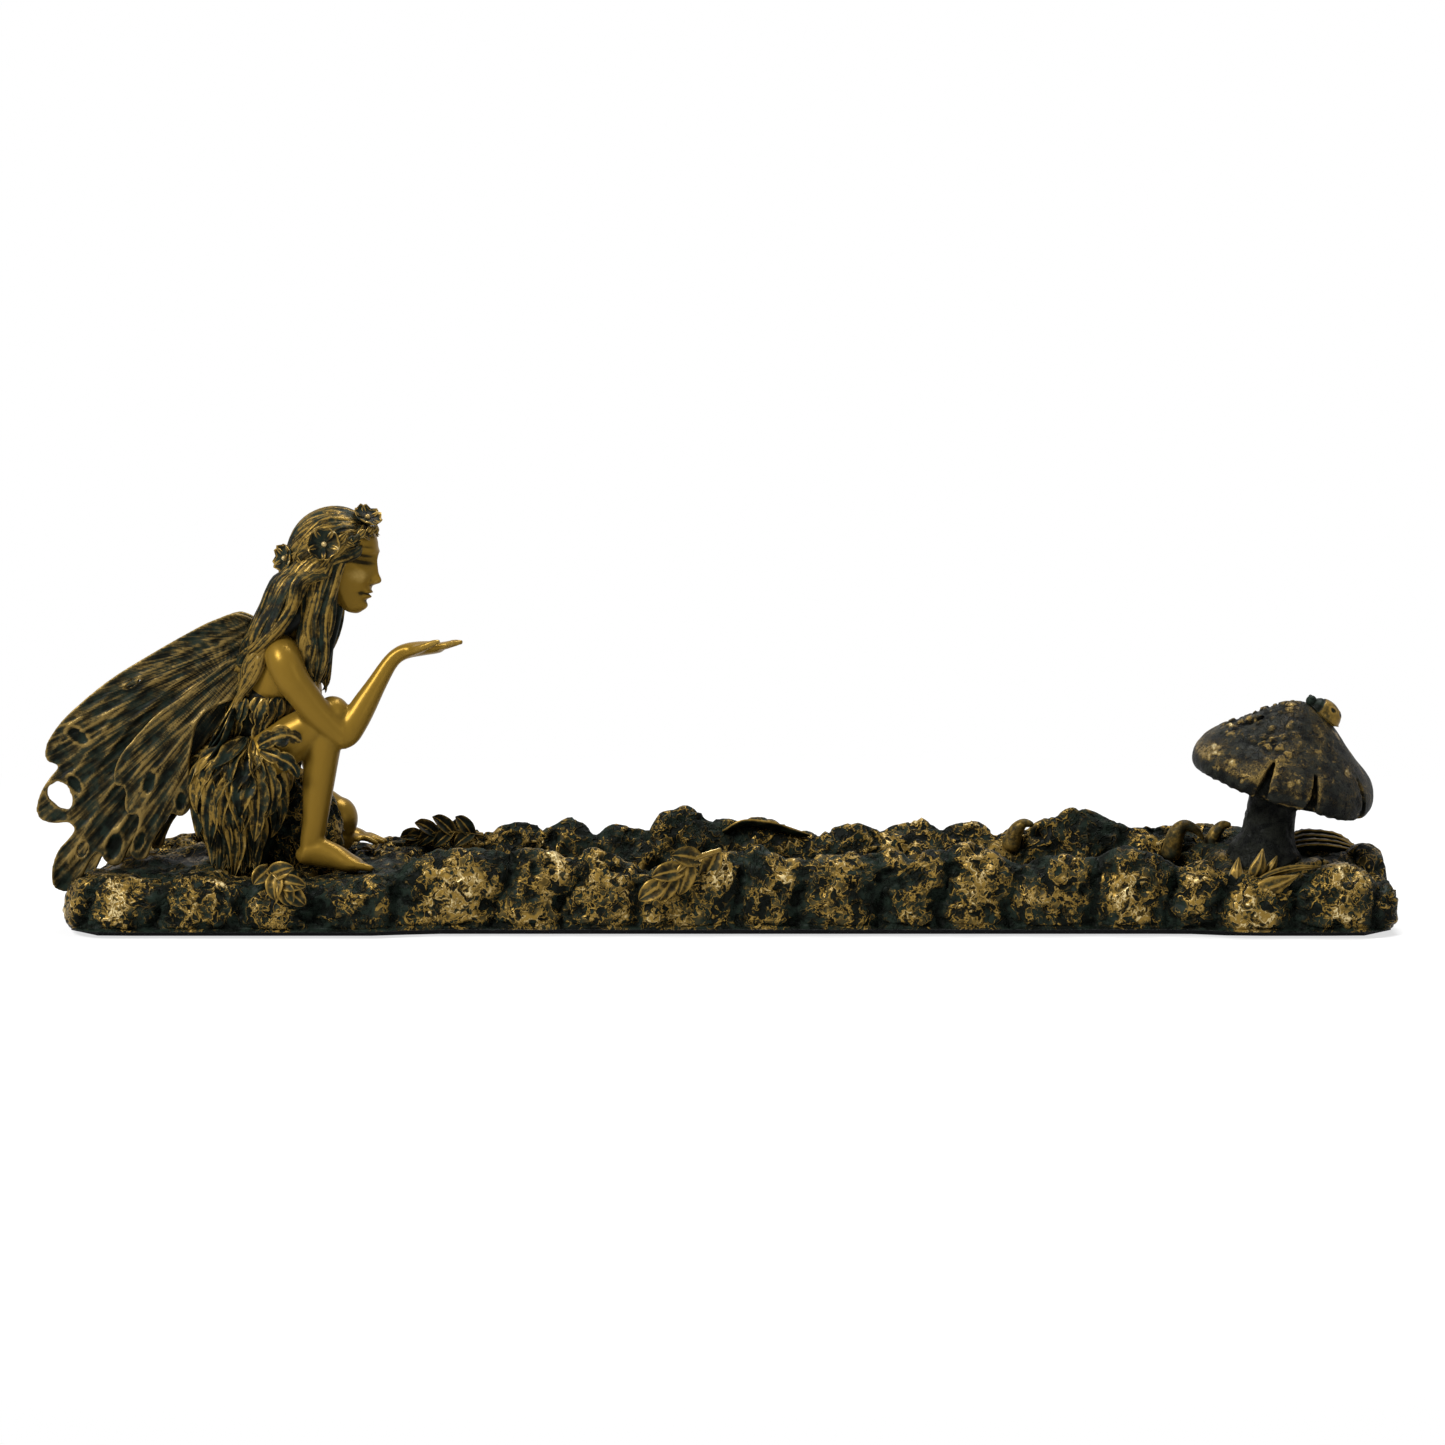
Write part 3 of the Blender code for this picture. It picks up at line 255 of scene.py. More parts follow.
def one_skin(bm, grain, smoothing, name):
    """One closed skin over all the forms in bm, with faces about as big as the grain, in mm."""
    holder = bpy.data.objects.new(name, mesh_of(closed_up(bm), name))
    SCENE.collection.objects.link(holder)
    skin = holder.modifiers.new("skin", "REMESH")
    skin.mode = "VOXEL"
    skin.voxel_size = grain * MM
    soften = holder.modifiers.new("soften", "SMOOTH")
    soften.factor = 0.5
    soften.iterations = smoothing
    made = bpy.data.meshes.new_from_object(holder.evaluated_get(bpy.context.evaluated_depsgraph_get()))
    bpy.data.objects.remove(holder, do_unlink=True)
    return made


def points_of(mesh):
    co = np.empty(len(mesh.vertices) * 3, np.float32)
    mesh.vertices.foreach_get("co", co)
    return co.reshape(-1, 3).astype(float)


def normals_of(mesh):
    mesh.update()
    made = np.empty(len(mesh.vertices) * 3, np.float32)
    mesh.vertex_normals.foreach_get("vector", made)
    return made.reshape(-1, 3).astype(float)


def move_to(mesh, points):
    mesh.vertices.foreach_set("co", points.astype(np.float32).ravel())
    mesh.update()


def edges_of(mesh):
    made = np.empty(len(mesh.edges) * 2, np.int32)
    mesh.edges.foreach_get("vertices", made)
    return made.reshape(-1, 2)


def smoothed(values, edges, rounds):
    """Values averaged with their neighbours, a number of times."""
    count = np.bincount(edges.ravel(), minlength=len(values)).astype(float)
    count = np.maximum(count, 1)
    made = values.reshape(len(values), -1).copy()
    for _ in range(rounds):
        for a in range(made.shape[1]):
            total = np.bincount(edges[:, 0], made[edges[:, 1], a], len(made))
            total += np.bincount(edges[:, 1], made[edges[:, 0], a], len(made))
            made[:, a] = 0.5 * made[:, a] + 0.5 * total / count
    return made.reshape(values.shape)


def highness(mesh, rounds, depth):
    """From 0 in hollows to 1 on ridges, told from how far each point stands out of its smoothed surface."""
    points = points_of(mesh)
    out = points - smoothed(points, edges_of(mesh), rounds)
    return np.clip(0.5 + 0.5 * np.sum(out * normals_of(mesh), axis=1) / (depth * MM), 0, 1)


def set_relief(mesh, relief):
    layer = mesh.attributes.get("relief") or mesh.attributes.new("relief", "FLOAT", "POINT")
    layer.data.foreach_set("value", relief.astype(np.float32))


def set_grain(mesh, grain):
    layer = mesh.attributes.get("grain") or mesh.attributes.new("grain", "FLOAT_VECTOR", "POINT")
    layer.data.foreach_set("vector", grain.astype(np.float32).ravel())


def piece(name, mesh, finish):
    """A finished piece: smooth, on the casting's body, in place of the casting's plain solid."""
    mesh.name = name
    mesh.materials.clear()
    mesh.materials.append(finish)
    mesh.shade_smooth()
    made = bpy.data.objects.new(name, mesh)
    SCENE.collection.objects.link(made)
    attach(made, "root")
    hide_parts("fairy_casting")


# Finishes

HOLLOW = (0.0035, 0.0045, 0.0032)
HOLLOW_TINT = (0.009, 0.014, 0.010)
GOLD = (0.18, 0.112, 0.024)
BRIGHT_GOLD = (0.56, 0.45, 0.23)
BROWN_HOLLOW = (0.010, 0.007, 0.002)
BROWN_TINT = (0.03, 0.021, 0.005)
SKIN_GOLD = (0.15, 0.088, 0.012)
SKIN_BRIGHT = (0.50, 0.36, 0.12)
PALE_GOLD = (0.15, 0.10, 0.03)
WING_BRIGHT = (0.42, 0.33, 0.16)
CAP_HOLLOW = (0.005, 0.0055, 0.005)
CAP_TINT = (0.014, 0.015, 0.012)
CAP_BRIGHT = (0.46, 0.38, 0.20)
# Roughness of the patina and of the rubbed gold, and how metallic the gold is
DULL = 0.44
RUBBED = 0.30
GOLD_METAL = 0.34


def node(tree, kind, **values):
    made = tree.nodes.new(kind)
    for name, value in values.items():
        setattr(made, name, value)
    return made


def sums(tree, operation, first, second):
    made = node(tree, "ShaderNodeMath", operation=operation)
    for socket, value in zip(made.inputs, (first, second)):
        if isinstance(value, (int, float)):
            socket.default_value = value
        else:
            tree.links.new(value, socket)
    return made.outputs[0]


def step_between(tree, value, low, high, out_low=0.0, out_high=1.0):
    made = node(tree, "ShaderNodeMapRange", interpolation_type="SMOOTHSTEP")
    for name, item in (("Value", value), ("From Min", low), ("From Max", high), ("To Min", out_low),
                       ("To Max", out_high)):
        if isinstance(item, (int, float)):
            made.inputs[name].default_value = item
        else:
            tree.links.new(item, made.inputs[name])
    return made.outputs["Result"]


def blend_of(tree, share, first, second):
    made = node(tree, "ShaderNodeMix", data_type="RGBA")
    tree.links.new(share, made.inputs["Factor"])
    for socket, value in ((made.inputs[6], first), (made.inputs[7], second)):
        if isinstance(value, tuple):
            socket.default_value = (*value, 1.0)
        else:
            tree.links.new(value, socket)
    return made.outputs[2]


def mottle(tree, place, size, detail=3.0, roughness=0.55):
    """Noise about as coarse as size, in mm."""
    made = node(tree, "ShaderNodeTexNoise")
    made.inputs["Scale"].default_value = 1.0 / (size * MM)
    made.inputs["Detail"].default_value = detail
    made.inputs["Roughness"].default_value = roughness
    tree.links.new(place, made.inputs["Vector"])
    return made.outputs["Fac"]


def bumped(tree, height, strength, distance, normal=None):
    """A bump of the height, over the bump before it. Distance is in mm."""
    made = node(tree, "ShaderNodeBump")
    made.inputs["Strength"].default_value = strength
    made.inputs["Distance"].default_value = distance * MM
    tree.links.new(height, made.inputs["Height"])
    if normal is not None:
        tree.links.new(normal, made.inputs["Normal"])
    return made.outputs["Normal"]


def looked_at(tree):
    """1 on rays from the camera, in reflections and through glass, and 0 on the rest."""
    path = node(tree, "ShaderNodeLightPath").outputs
    seen = sums(tree, "MAXIMUM", path["Is Camera Ray"], path["Is Glossy Ray"])
    return sums(tree, "MAXIMUM", seen, path["Is Transmission Ray"])


def new_group(name, given, made):
    """A node group with named inputs and outputs, and the sockets of both."""
    tree = bpy.data.node_groups.new(name, "ShaderNodeTree")
    for way, sockets in (("INPUT", given), ("OUTPUT", made)):
        for socket, kind in sockets:
            tree.interface.new_socket(socket, in_out=way, socket_type="NodeSocket" + kind)
    return tree, node(tree, "NodeGroupInput").outputs, node(tree, "NodeGroupOutput").inputs


def new_finish(name):
    made = bpy.data.materials.new(name)
    made.use_nodes = True
    return made, made.node_tree, made.node_tree.nodes["Principled BSDF"].inputs


def patina_group():
    """Dark green patina in the hollows, gold on the high points, and brighter gold on the highest."""
    tree, given, out = new_group(
        "rubbed_patina",
        (("Relief", "Float"), ("Coverage", "Float"), ("Softness", "Float"), ("Mottling", "Float"),
         ("Hollow", "Color"), ("Hollow Tint", "Color"), ("Gold", "Color"), ("Bright", "Color")),
        (("Colour", "Color"), ("Roughness", "Float"), ("Metallic", "Float"), ("Height", "Float")),
    )
    place = node(tree, "ShaderNodeTexCoord").outputs["Object"]
    broad = mottle(tree, place, 5.0)
    fine = mottle(tree, place, 0.9, 4.0, 0.65)
    tint = mottle(tree, place, 2.6, 2.0)
    uneven = sums(tree, "ADD", sums(tree, "MULTIPLY", sums(tree, "SUBTRACT", broad, 0.5), 1.6),
                  sums(tree, "MULTIPLY", sums(tree, "SUBTRACT", fine, 0.5), 1.3))
    level = sums(tree, "ADD", given["Relief"], sums(tree, "MULTIPLY", uneven, given["Mottling"]))
    low = sums(tree, "SUBTRACT", given["Coverage"], given["Softness"])
    high = sums(tree, "ADD", given["Coverage"], given["Softness"])
    gold = step_between(tree, level, low, high)
    worn = step_between(tree, level, sums(tree, "ADD", high, 0.08), sums(tree, "ADD", high, 0.55))
    dark = blend_of(tree, step_between(tree, tint, 0.4, 0.62), given["Hollow"], given["Hollow Tint"])
    rubbed = blend_of(tree, worn, given["Gold"], given["Bright"])
    smear = step_between(tree, level, sums(tree, "SUBTRACT", low, 0.2), high, 0.0, 0.34)
    tree.links.new(blend_of(tree, gold, blend_of(tree, smear, dark, given["Gold"]), rubbed), out["Colour"])
    shine = sums(tree, "ADD", gold, sums(tree, "MULTIPLY", fine, 0.5))
    tree.links.new(step_between(tree, shine, 0.0, 1.5, DULL, RUBBED), out["Roughness"])
    tree.links.new(step_between(tree, gold, 0.0, 1.0, 0.0, GOLD_METAL), out["Metallic"])
    tree.links.new(fine, out["Height"])
    return tree


def pitting_group():
    """Coral-like rock: sunken pits, each inside a thin wandering ridge, at two sizes."""
    tree, given, out = new_group(
        "coral_pits", (("Size", "Float"),), (("Ridge", "Float"), ("Depth", "Float"), ("Height", "Float")))
    place = node(tree, "ShaderNodeTexCoord").outputs["Object"]
    ridges = []
    pits = []
    for share, band in ((1.0, 0.034), (1.9, 0.045)):
        cloud = node(tree, "ShaderNodeTexNoise")
        tree.links.new(place, cloud.inputs["Vector"])
        tree.links.new(sums(tree, "MULTIPLY", given["Size"], share), cloud.inputs["Scale"])
        cloud.inputs["Detail"].default_value = 2.0
        cloud.inputs["Distortion"].default_value = 0.6
        level = cloud.outputs["Fac"]
        off = sums(tree, "ABSOLUTE", sums(tree, "SUBTRACT", level, 0.47), 0.0)
        ridges.append(step_between(tree, off, band * 0.35, band, 1.0, 0.0))
        pits.append(step_between(tree, level, 0.36, 0.46, 1.0, 0.0))
    ridge = sums(tree, "MAXIMUM", ridges[0], sums(tree, "MULTIPLY", ridges[1], 0.75))
    pit = sums(tree, "MAXIMUM", pits[0], sums(tree, "MULTIPLY", pits[1], 0.8))
    tree.links.new(ridge, out["Ridge"])
    tree.links.new(pit, out["Depth"])
    tree.links.new(sums(tree, "SUBTRACT", sums(tree, "MULTIPLY", ridge, 0.5), pit), out["Height"])
    return tree


PATINA = patina_group()
PITTING = pitting_group()


def bronze(name, coverage, softness, mottling, hollow=HOLLOW, tint=HOLLOW_TINT, gold=GOLD, bright=BRIGHT_GOLD,
           pit_size=0.0, pit_share=0.0, bump=0.05, strands=0.0):
    """A patina finish. Coverage is how high the relief must be for gold. Sizes are in mm."""
    made, tree, inputs = new_finish(name)
    relief = node(tree, "ShaderNodeAttribute", attribute_name="relief").outputs["Fac"]
    group = node(tree, "ShaderNodeGroup", node_tree=PATINA)
    normal = bumped(tree, group.outputs["Height"], 0.7, bump)
    if pit_size:
        pits = node(tree, "ShaderNodeGroup", node_tree=PITTING)
        pits.inputs["Size"].default_value = 1.0 / (pit_size * MM)
        relief = sums(tree, "SUBTRACT", relief, sums(tree, "MULTIPLY", pits.outputs["Depth"], pit_share))
        relief = sums(tree, "ADD", relief, sums(tree, "MULTIPLY", pits.outputs["Ridge"], pit_share * 0.8))
        normal = bumped(tree, pits.outputs["Height"], 0.9, pit_size * 0.16, normal)
    if strands:
        grain = node(tree, "ShaderNodeAttribute", attribute_name="grain").outputs["Vector"]
        fibres = mottle(tree, grain, 1000.0, 2.0, 0.6)
        relief = sums(tree, "ADD", relief,
                      sums(tree, "MULTIPLY", sums(tree, "SUBTRACT", fibres, 0.5), strands))
        normal = bumped(tree, fibres, 0.8, 0.22, normal)
    tree.links.new(relief, group.inputs["Relief"])
    for key, value in (("Coverage", coverage), ("Softness", softness), ("Mottling", mottling)):
        group.inputs[key].default_value = value
    for key, value in (("Hollow", hollow), ("Hollow Tint", tint), ("Gold", gold), ("Bright", bright)):
        group.inputs[key].default_value = (*value, 1.0)
    for source, socket in (("Colour", "Base Color"), ("Roughness", "Roughness"), ("Metallic", "Metallic")):
        tree.links.new(group.outputs[source], inputs[socket])
    tree.links.new(normal, inputs["Normal"])
    inputs["Specular IOR Level"].default_value = 0.03
    return made


def felt_finish():
    made, tree, inputs = new_finish("black_felt_nap")
    nap = mottle(tree, node(tree, "ShaderNodeTexCoord").outputs["Object"], 0.35, 3.0)
    tree.links.new(blend_of(tree, nap, (0.004, 0.004, 0.005), (0.02, 0.02, 0.022)), inputs["Base Color"])
    inputs["Roughness"].default_value = 0.95
    tree.links.new(bumped(tree, nap, 1.0, 0.1), inputs["Normal"])
    return made


# The rock. Lengths along the base are from the middle of the holder, and heights from the table

BOTTOM = 1.3
LEFT = -149.3
RIGHT = 155.5
TROUGH_START = -69.3
TROUGH_END = 109.5
TROUGH_FLOOR = 9.0
NEAR_CREST = (
    (-149.3, 9.5), (-146, 13.1), (-138, 13.8), (-127, 11.6), (-118, 13.6), (-109, 11.8), (-99, 13.2),
    (-91, 11.4), (-82, 13.0), (-72.6, 15.1), (-69.2, 17.4), (-63.5, 18.8), (-55.0, 19.2), (-46.1, 18.8),
    (-38.3, 19.2), (-35.1, 17.4), (-28.5, 19.4), (-23.9, 18.5), (-18.4, 15.6), (-14.1, 15.3), (-4.0, 17.4),
    (1.5, 18.5), (9.5, 20.1), (15.7, 16.2), (18.4, 17.6), (27.8, 17.8), (39.5, 19.0), (44.0, 17.4),
    (52.3, 19.9), (57.3, 20.4), (63.9, 18.0), (70.6, 15.6), (73.8, 17.6), (85.5, 17.8), (92.8, 19.9),
    (96.9, 19.0), (105.8, 15.3), (110.6, 16.2), (113.8, 14.9), (122, 13.2), (132.6, 12.8), (135.1, 14.2),
    (142.4, 15.8), (147.0, 14.4), (150.0, 10.8), (152, 12.5), (155.5, 9.0),
)
FAR_CREST = (
    (-149.3, 9.0), (-144, 12.5), (-136, 16.4), (-128, 18.1), (-116, 18.1), (-104, 15.4), (-94, 15.1),
    (-86.3, 16.4), (-80, 17.2), (-69.2, 20.2), (-61.2, 21.6), (-54.3, 19.4), (-47.5, 21.5), (-39.5, 19.9),
    (-34.9, 22.7), (-28.7, 18.8), (-24.6, 20.4), (-16.6, 20.1), (-13.2, 23.3), (-7.4, 24.9), (-1.7, 22.4),
    (5.1, 21.7), (10.9, 22.6), (18.9, 20.1), (23.9, 18.8), (33.3, 21.5), (39.5, 19.4), (48.6, 22.4),
    (53.2, 20.4), (61.2, 21.5), (66.5, 19.2), (72.6, 19.7), (84.1, 24.9), (89.8, 23.6), (97.8, 20.4),
    (107.4, 20.6), (116.3, 20.4), (126, 19.6), (133.3, 19.2), (140.1, 18.3), (148.1, 17.6), (153.4, 14.2),
    (155.5, 11.0),
)
NEAR_CRACKS = (
    -149.5, -142.4, -126.4, -108.1, -91.0, -72.6, -48.6, -33.4, -17.7, 5.1, 18.9, 37.2, 50.9, 66.9, 86.4,
    103.5, 113.8, 131.0, 150.4, 156.5,
)
FAR_CRACKS = (
    -149.5, -134.0, -117.0, -99.0, -83.0, -69.0, -54.0, -42.0, -29.0, -17.0, -2.0, 19.0, 24.0, 39.0, 53.0,
    66.0, 74.0, 95.0, 111.0, 128.0, 142.0, 156.5,
)
# Where the crest lies, as a share of half the width
CREST_SHARE = 0.82
# Half of the section, from the bottom edge to the trough: across, up and how much is trough floor
WALL_SECTION = (
    (0.90, 0.0, 0.0), (1.0, 0.10, 0.0), (1.02, 0.30, 0.0), (1.02, 0.52, 0.0), (0.99, 0.74, 0.0),
    (0.93, 0.92, 0.0), (CREST_SHARE, 1.0, 0.0), (0.70, 0.93, 0.15), (0.61, 0.76, 0.55), (0.50, 0.55, 1.0),
    (0.25, 0.5, 1.0),
)


def base_sections(x):
    """The rock's closed section at each x: (stations, points, 2), from the near edge to the far one."""
    trough = ease(x, TROUGH_START - 10, TROUGH_START + 6) * (1 - ease(x, TROUGH_END - 4, TROUGH_END + 10))
    gap = np.minimum(x - LEFT, RIGHT - x)
    t = np.clip(gap / 13.0, 0, 1)
    rounding = (1 - (1 - t) ** 2.6) ** (1 / 2.6)
    half = (24.0 - 3.5 * trough) * rounding
    near = np.interp(x, *zip(*NEAR_CREST))
    far = np.interp(x, *zip(*FAR_CREST))
    middle = (near + far) / 2
    sides = []
    for direction, crest in ((-1, near), (1, far)):
        crest = BOTTOM + (crest - BOTTOM) * (0.7 + 0.3 * rounding)
        rows = []
        for across, up, floor_share in WALL_SECTION:
            wall = BOTTOM + (crest - BOTTOM) * up
            flat = wall if across >= CREST_SHARE else middle + (crest - middle) * across / CREST_SHARE
            sunk = wall + (TROUGH_FLOOR - wall) * floor_share
            y = across * half
            rows.append(np.stack((direction * y, sunk * trough + flat * (1 - trough)), axis=-1))
        sides.append(rows)
    return np.stack(sides[0] + sides[1][::-1], axis=1)


def around_section(count):
    """Where the samples lie round the section, few of them on the flat bottom."""
    last = 2 * len(WALL_SECTION) - 1
    return np.concatenate((np.linspace(0, last, count - 8), last + np.linspace(0, 1, 10)[1:-1]))


def round_loop(points, where):
    """Catmull-Rom samples at places along a closed loop of points, for every station at once."""
    count = points.shape[1]
    i = np.floor(where).astype(int)
    t = (where - i)[None, :, None]
    a, b, c, d = (points[:, (i + k) % count] for k in (-1, 0, 1, 2))
    return spline_point(a, b, c, d, t)


def bulge_between(x, cracks):
    """1 over the middle of a boulder and 0 in the crack beside it."""
    cracks = np.asarray(cracks)
    i = np.clip(np.searchsorted(cracks, x) - 1, 0, len(cracks) - 2)
    t = (x - cracks[i]) / (cracks[i + 1] - cracks[i])
    return 1 - np.abs(2 * t - 1) ** 3.2


def grid_normals(points, share):
    """Outward normals of the base's grid, told by its middle, which faces up."""
    along = np.gradient(points, axis=0)
    wrapped = np.concatenate((points[:, -1:], points, points[:, :1]), axis=1)
    across = (wrapped[:, 2:] - wrapped[:, :-2]) / 2
    out = unit(np.cross(across, along))
    return -out if np.mean(out[..., 2][:, (share > 0.45) & (share < 0.55)]) < 0 else out


ROCK_STATIONS = 440
ROCK_SAMPLES = 176
# The rock under the figure and the boulder at the end: middle, radii and which noise
LOOSE_ROCKS = (((-95.6, 0.5, 19.5), (9.0, 6.2, 15.0), 3), ((149.8, 2.0, 10.6), (5.8, 8.0, 8.0), 4))


def loose_rock(bm, place, radii, salt):
    ball_points = np.stack(round_grid(60, 81), axis=-1)
    points = ball_points * np.array(radii) + np.array(place)
    _, edge, who = pebbles(points + 1.1 * bumps(points, 3.2, salt)[..., None], 4.2, salt)
    pit = ease(edge, 0.05, 0.42) * ease(who, 0.25, 0.6)
    lumps = rough(points, 6.0, 4, salt)
    points = closed_form(points + ball_points * (1.3 * lumps - 0.9 * pit + 0.2)[..., None])
    sheet_of(bm, points * MM, np.clip(0.5 + 0.3 * lumps - 0.4 * pit, 0, 1))


def rock():
    """The base: boulders along both walls, loose stones in the trough, and pits over all of it."""
    even = np.linspace(0, 1, ROCK_STATIONS)
    x = LEFT + (RIGHT - LEFT) * (0.82 * even + 0.18 * (1 - np.cos(math.pi * even)) / 2)
    where = around_section(ROCK_SAMPLES)
    section = round_loop(base_sections(x), where)
    points = np.concatenate((np.broadcast_to(x[:, None, None], (*section.shape[:2], 1)), section), axis=-1)
    last = 2 * len(WALL_SECTION) - 1
    share = where / last
    near_wall = 1 - ease(share, 0.24, 0.34)
    far_wall = ease(share, 0.66, 0.76)
    inside = 1 - near_wall - far_wall
    wander = 1.6 * bumps(points, 7.0, 11) + 0.9 * np.sin(points[..., 2] / 3.0)
    near = bulge_between(points[..., 0] + wander, NEAR_CRACKS)
    far = bulge_between(points[..., 0] + wander, FAR_CRACKS)
    _, edge, _ = pebbles(points * np.array((1, 1, 1.2)), 11.0, 5)
    loose = ease(edge, 0.0, 0.5)
    swell = near * near_wall + far * far_wall + loose * inside
    out = grid_normals(points, share)
    on_bottom = np.clip(ease(points[..., 2], BOTTOM, BOTTOM + 2.2), 0, 1) * (where <= last)
    ends = np.minimum(ease(x, LEFT, LEFT + 3.0), 1 - ease(x, RIGHT - 3.0, RIGHT))[:, None]
    depth = (3.2 * near_wall + 3.2 * far_wall + 1.1 * inside)[None, :]
    macro = depth * (swell - 0.62) + 0.8 * rough(points, 6.5, 2, 31) - 0.5 * inside[None, :]
    crest = ((share > 0.2) & (share < 0.36)) | ((share > 0.64) & (share < 0.8))
    macro = np.where(crest[None, :], macro * 0.55, macro)
    points = points + out * (macro * on_bottom * (0.35 + 0.65 * ends))[..., None]
    out = grid_normals(points, share)
    warped = points + 1.1 * np.stack([bumps(points, 3.2, 41 + k) for k in range(3)], axis=-1)
    _, edge_a, who_a = pebbles(warped, 4.4, 61)
    pit_a = ease(edge_a, 0.05, 0.42) * ease(who_a, 0.25, 0.6)
    _, edge_b, who_b = pebbles(warped, 2.3, 71)
    pit_b = ease(edge_b, 0.05, 0.4) * ease(who_b, 0.3, 0.7)
    rough_a = rough(points, 2.6, 3, 81)
    fine = -1.15 * pit_a - 0.5 * pit_b + 0.4 * rough_a
    calm = 1 - 0.6 * inside[None, :] * (np.abs(points[..., 1]) < 9)
    points = points + out * ((fine + 0.45) * on_bottom * calm)[..., None]
    points[..., 2] = np.maximum(points[..., 2], BOTTOM)
    patch = rough(points, 9.0, 2, 91)
    shade = ease(points[..., 2], BOTTOM, 5.0)
    border = np.exp(-((edge_a / 0.16) ** 2)) * ease(who_a, 0.2, 0.5)
    relief = 0.44 - 0.22 * pit_a - 0.12 * pit_b + 0.12 * border + 0.34 * rough_a + 0.42 * patch
    relief = relief + 0.55 * (swell - 0.78) * (near_wall + far_wall)[None, :] - 0.16 * (1 - shade)
    relief = relief - 0.08 * inside[None, :]
    points = closed_form(np.concatenate((points, points[:, :1]), axis=1))
    relief = np.concatenate((relief, relief[:, :1]), axis=1)
    bm = bmesh.new()
    sheet_of(bm, points * MM, np.clip(relief, 0, 1))
    for place, radii, salt in LOOSE_ROCKS:
        loose_rock(bm, place, radii, salt)
    return mesh_of(closed_up(bm), "rock")


# The figure

NEAR_UPPER_ARM = (
    (0.0, -7.0, 51.6, 2.4, 2.4), (0.4, -9.6, 50.8, 3.9, 3.8), (1.6, -12.8, 48.2, 4.1, 4.1),
    (3.2, -13.4, 44.6, 3.9, 4.0), (5.2, -13.0, 41.6, 3.5, 3.7), (8.9, -11.8, 36.4, 3.1, 3.4),
    (12.4, -10.6, 32.6, 2.8, 3.1), (14.8, -9.9, 30.5, 2.6, 2.9),
)
NEAR_FOREARM = (
    (13.6, -10.0, 30.2, 2.2, 2.8), (15.2, -9.7, 31.8, 2.8, 3.4), (17.2, -8.9, 34.6, 2.9, 3.2),
    (19.3, -7.9, 38.2, 2.7, 2.9), (21.7, -6.8, 42.3, 2.3, 2.35), (24.6, -5.5, 47.1, 1.9, 1.9),
    (26.6, -5.0, 49.2, 2.0, 1.8), (28.8, -4.6, 50.2, 2.5, 1.8), (32.0, -4.1, 50.7, 3.3, 1.7),
    (35.2, -3.6, 50.9, 3.5, 1.45), (36.4, -3.5, 50.9, 3.0, 1.2),
)
FAR_UPPER_ARM = (
    (0.0, 7.0, 51.6, 2.4, 2.4), (0.4, 9.6, 50.8, 3.9, 3.8), (1.6, 12.6, 48.4, 4.1, 4.1),
    (3.2, 14.8, 41.0, 3.5, 3.6), (3.6, 15.6, 34.0, 3.0, 3.1), (3.4, 15.8, 29.4, 2.8, 2.8),
)
FAR_FOREARM = (
    (3.2, 15.8, 30.5, 2.6, 2.6), (3.8, 15.6, 25.0, 2.8, 2.7), (5.8, 15.0, 17.0, 2.2, 2.1),
    (9.0, 14.4, 9.6, 1.9, 1.8), (12.4, 13.9, 6.9, 2.6, 1.5), (15.8, 13.4, 5.7, 2.9, 1.3),
)
NEAR_THIGH = (
    (-8.6, -6.2, 21.4, 6.4, 6.6), (-5.0, -7.2, 24.6, 6.0, 6.3), (1.4, -8.0, 29.6, 5.3, 5.5),
    (7.2, -8.4, 33.0, 4.6, 4.8), (10.6, -8.5, 34.6, 4.1, 4.3),
)
NEAR_SHIN = (
    (10.4, -8.5, 35.8, 3.6, 3.4), (10.8, -8.5, 32.8, 4.0, 3.9), (9.6, -8.6, 27.2, 3.7, 4.0),
    (8.7, -8.8, 20.6, 3.4, 3.7), (7.9, -9.0, 12.4, 2.7, 3.0), (7.2, -9.1, 7.4, 2.4, 2.8),
    (6.9, -9.2, 4.0, 2.2, 2.7),
)
NEAR_FOOT = (
    (4.2, -9.2, 3.9, 1.5, 1.4), (5.2, -9.2, 3.7, 2.3, 2.5), (8.2, -9.4, 4.2, 2.6, 3.4),
    (12.0, -9.7, 3.3, 2.9, 3.0), (15.4, -10.1, 1.9, 3.3, 2.3), (17.6, -10.3, 1.4, 3.2, 1.7),
)
TOES = ((-12.4, 1.05, 3.6), (-10.9, 0.75, 3.6), (-9.8, 0.7, 3.2), (-8.8, 0.65, 2.7), (-7.9, 0.6, 2.1))
FAR_THIGH = (
    (-7.6, 5.8, 20.0, 6.4, 6.8), (-2.0, 7.0, 17.6, 6.2, 6.4), (5.0, 7.8, 13.2, 5.6, 5.8),
    (9.6, 8.2, 10.6, 5.0, 5.2),
)
FAR_SHIN = (
    (12.0, 8.2, 6.0, 4.2, 3.6), (6.0, 8.4, 3.8, 4.2, 3.8), (-2.0, 8.8, 3.0, 3.6, 3.4),
    (-9.0, 9.2, 2.4, 2.6, 2.6), (-15.0, 9.4, 1.4, 2.4, 1.8),
)
TORSO = (
    (-9.8, 0.0, 12.0, 10.0, 9.0), (-9.5, 0.0, 18.0, 13.0, 10.4), (-8.6, 0.0, 25.0, 11.4, 9.0),
    (-7.0, 0.0, 31.0, 8.4, 6.6), (-4.0, 0.0, 38.0, 9.2, 7.2), (-1.2, 0.0, 44.0, 11.2, 7.6),
    (0.6, 0.0, 49.5, 11.2, 6.0), (2.6, 0.0, 53.4, 6.4, 4.6),
)
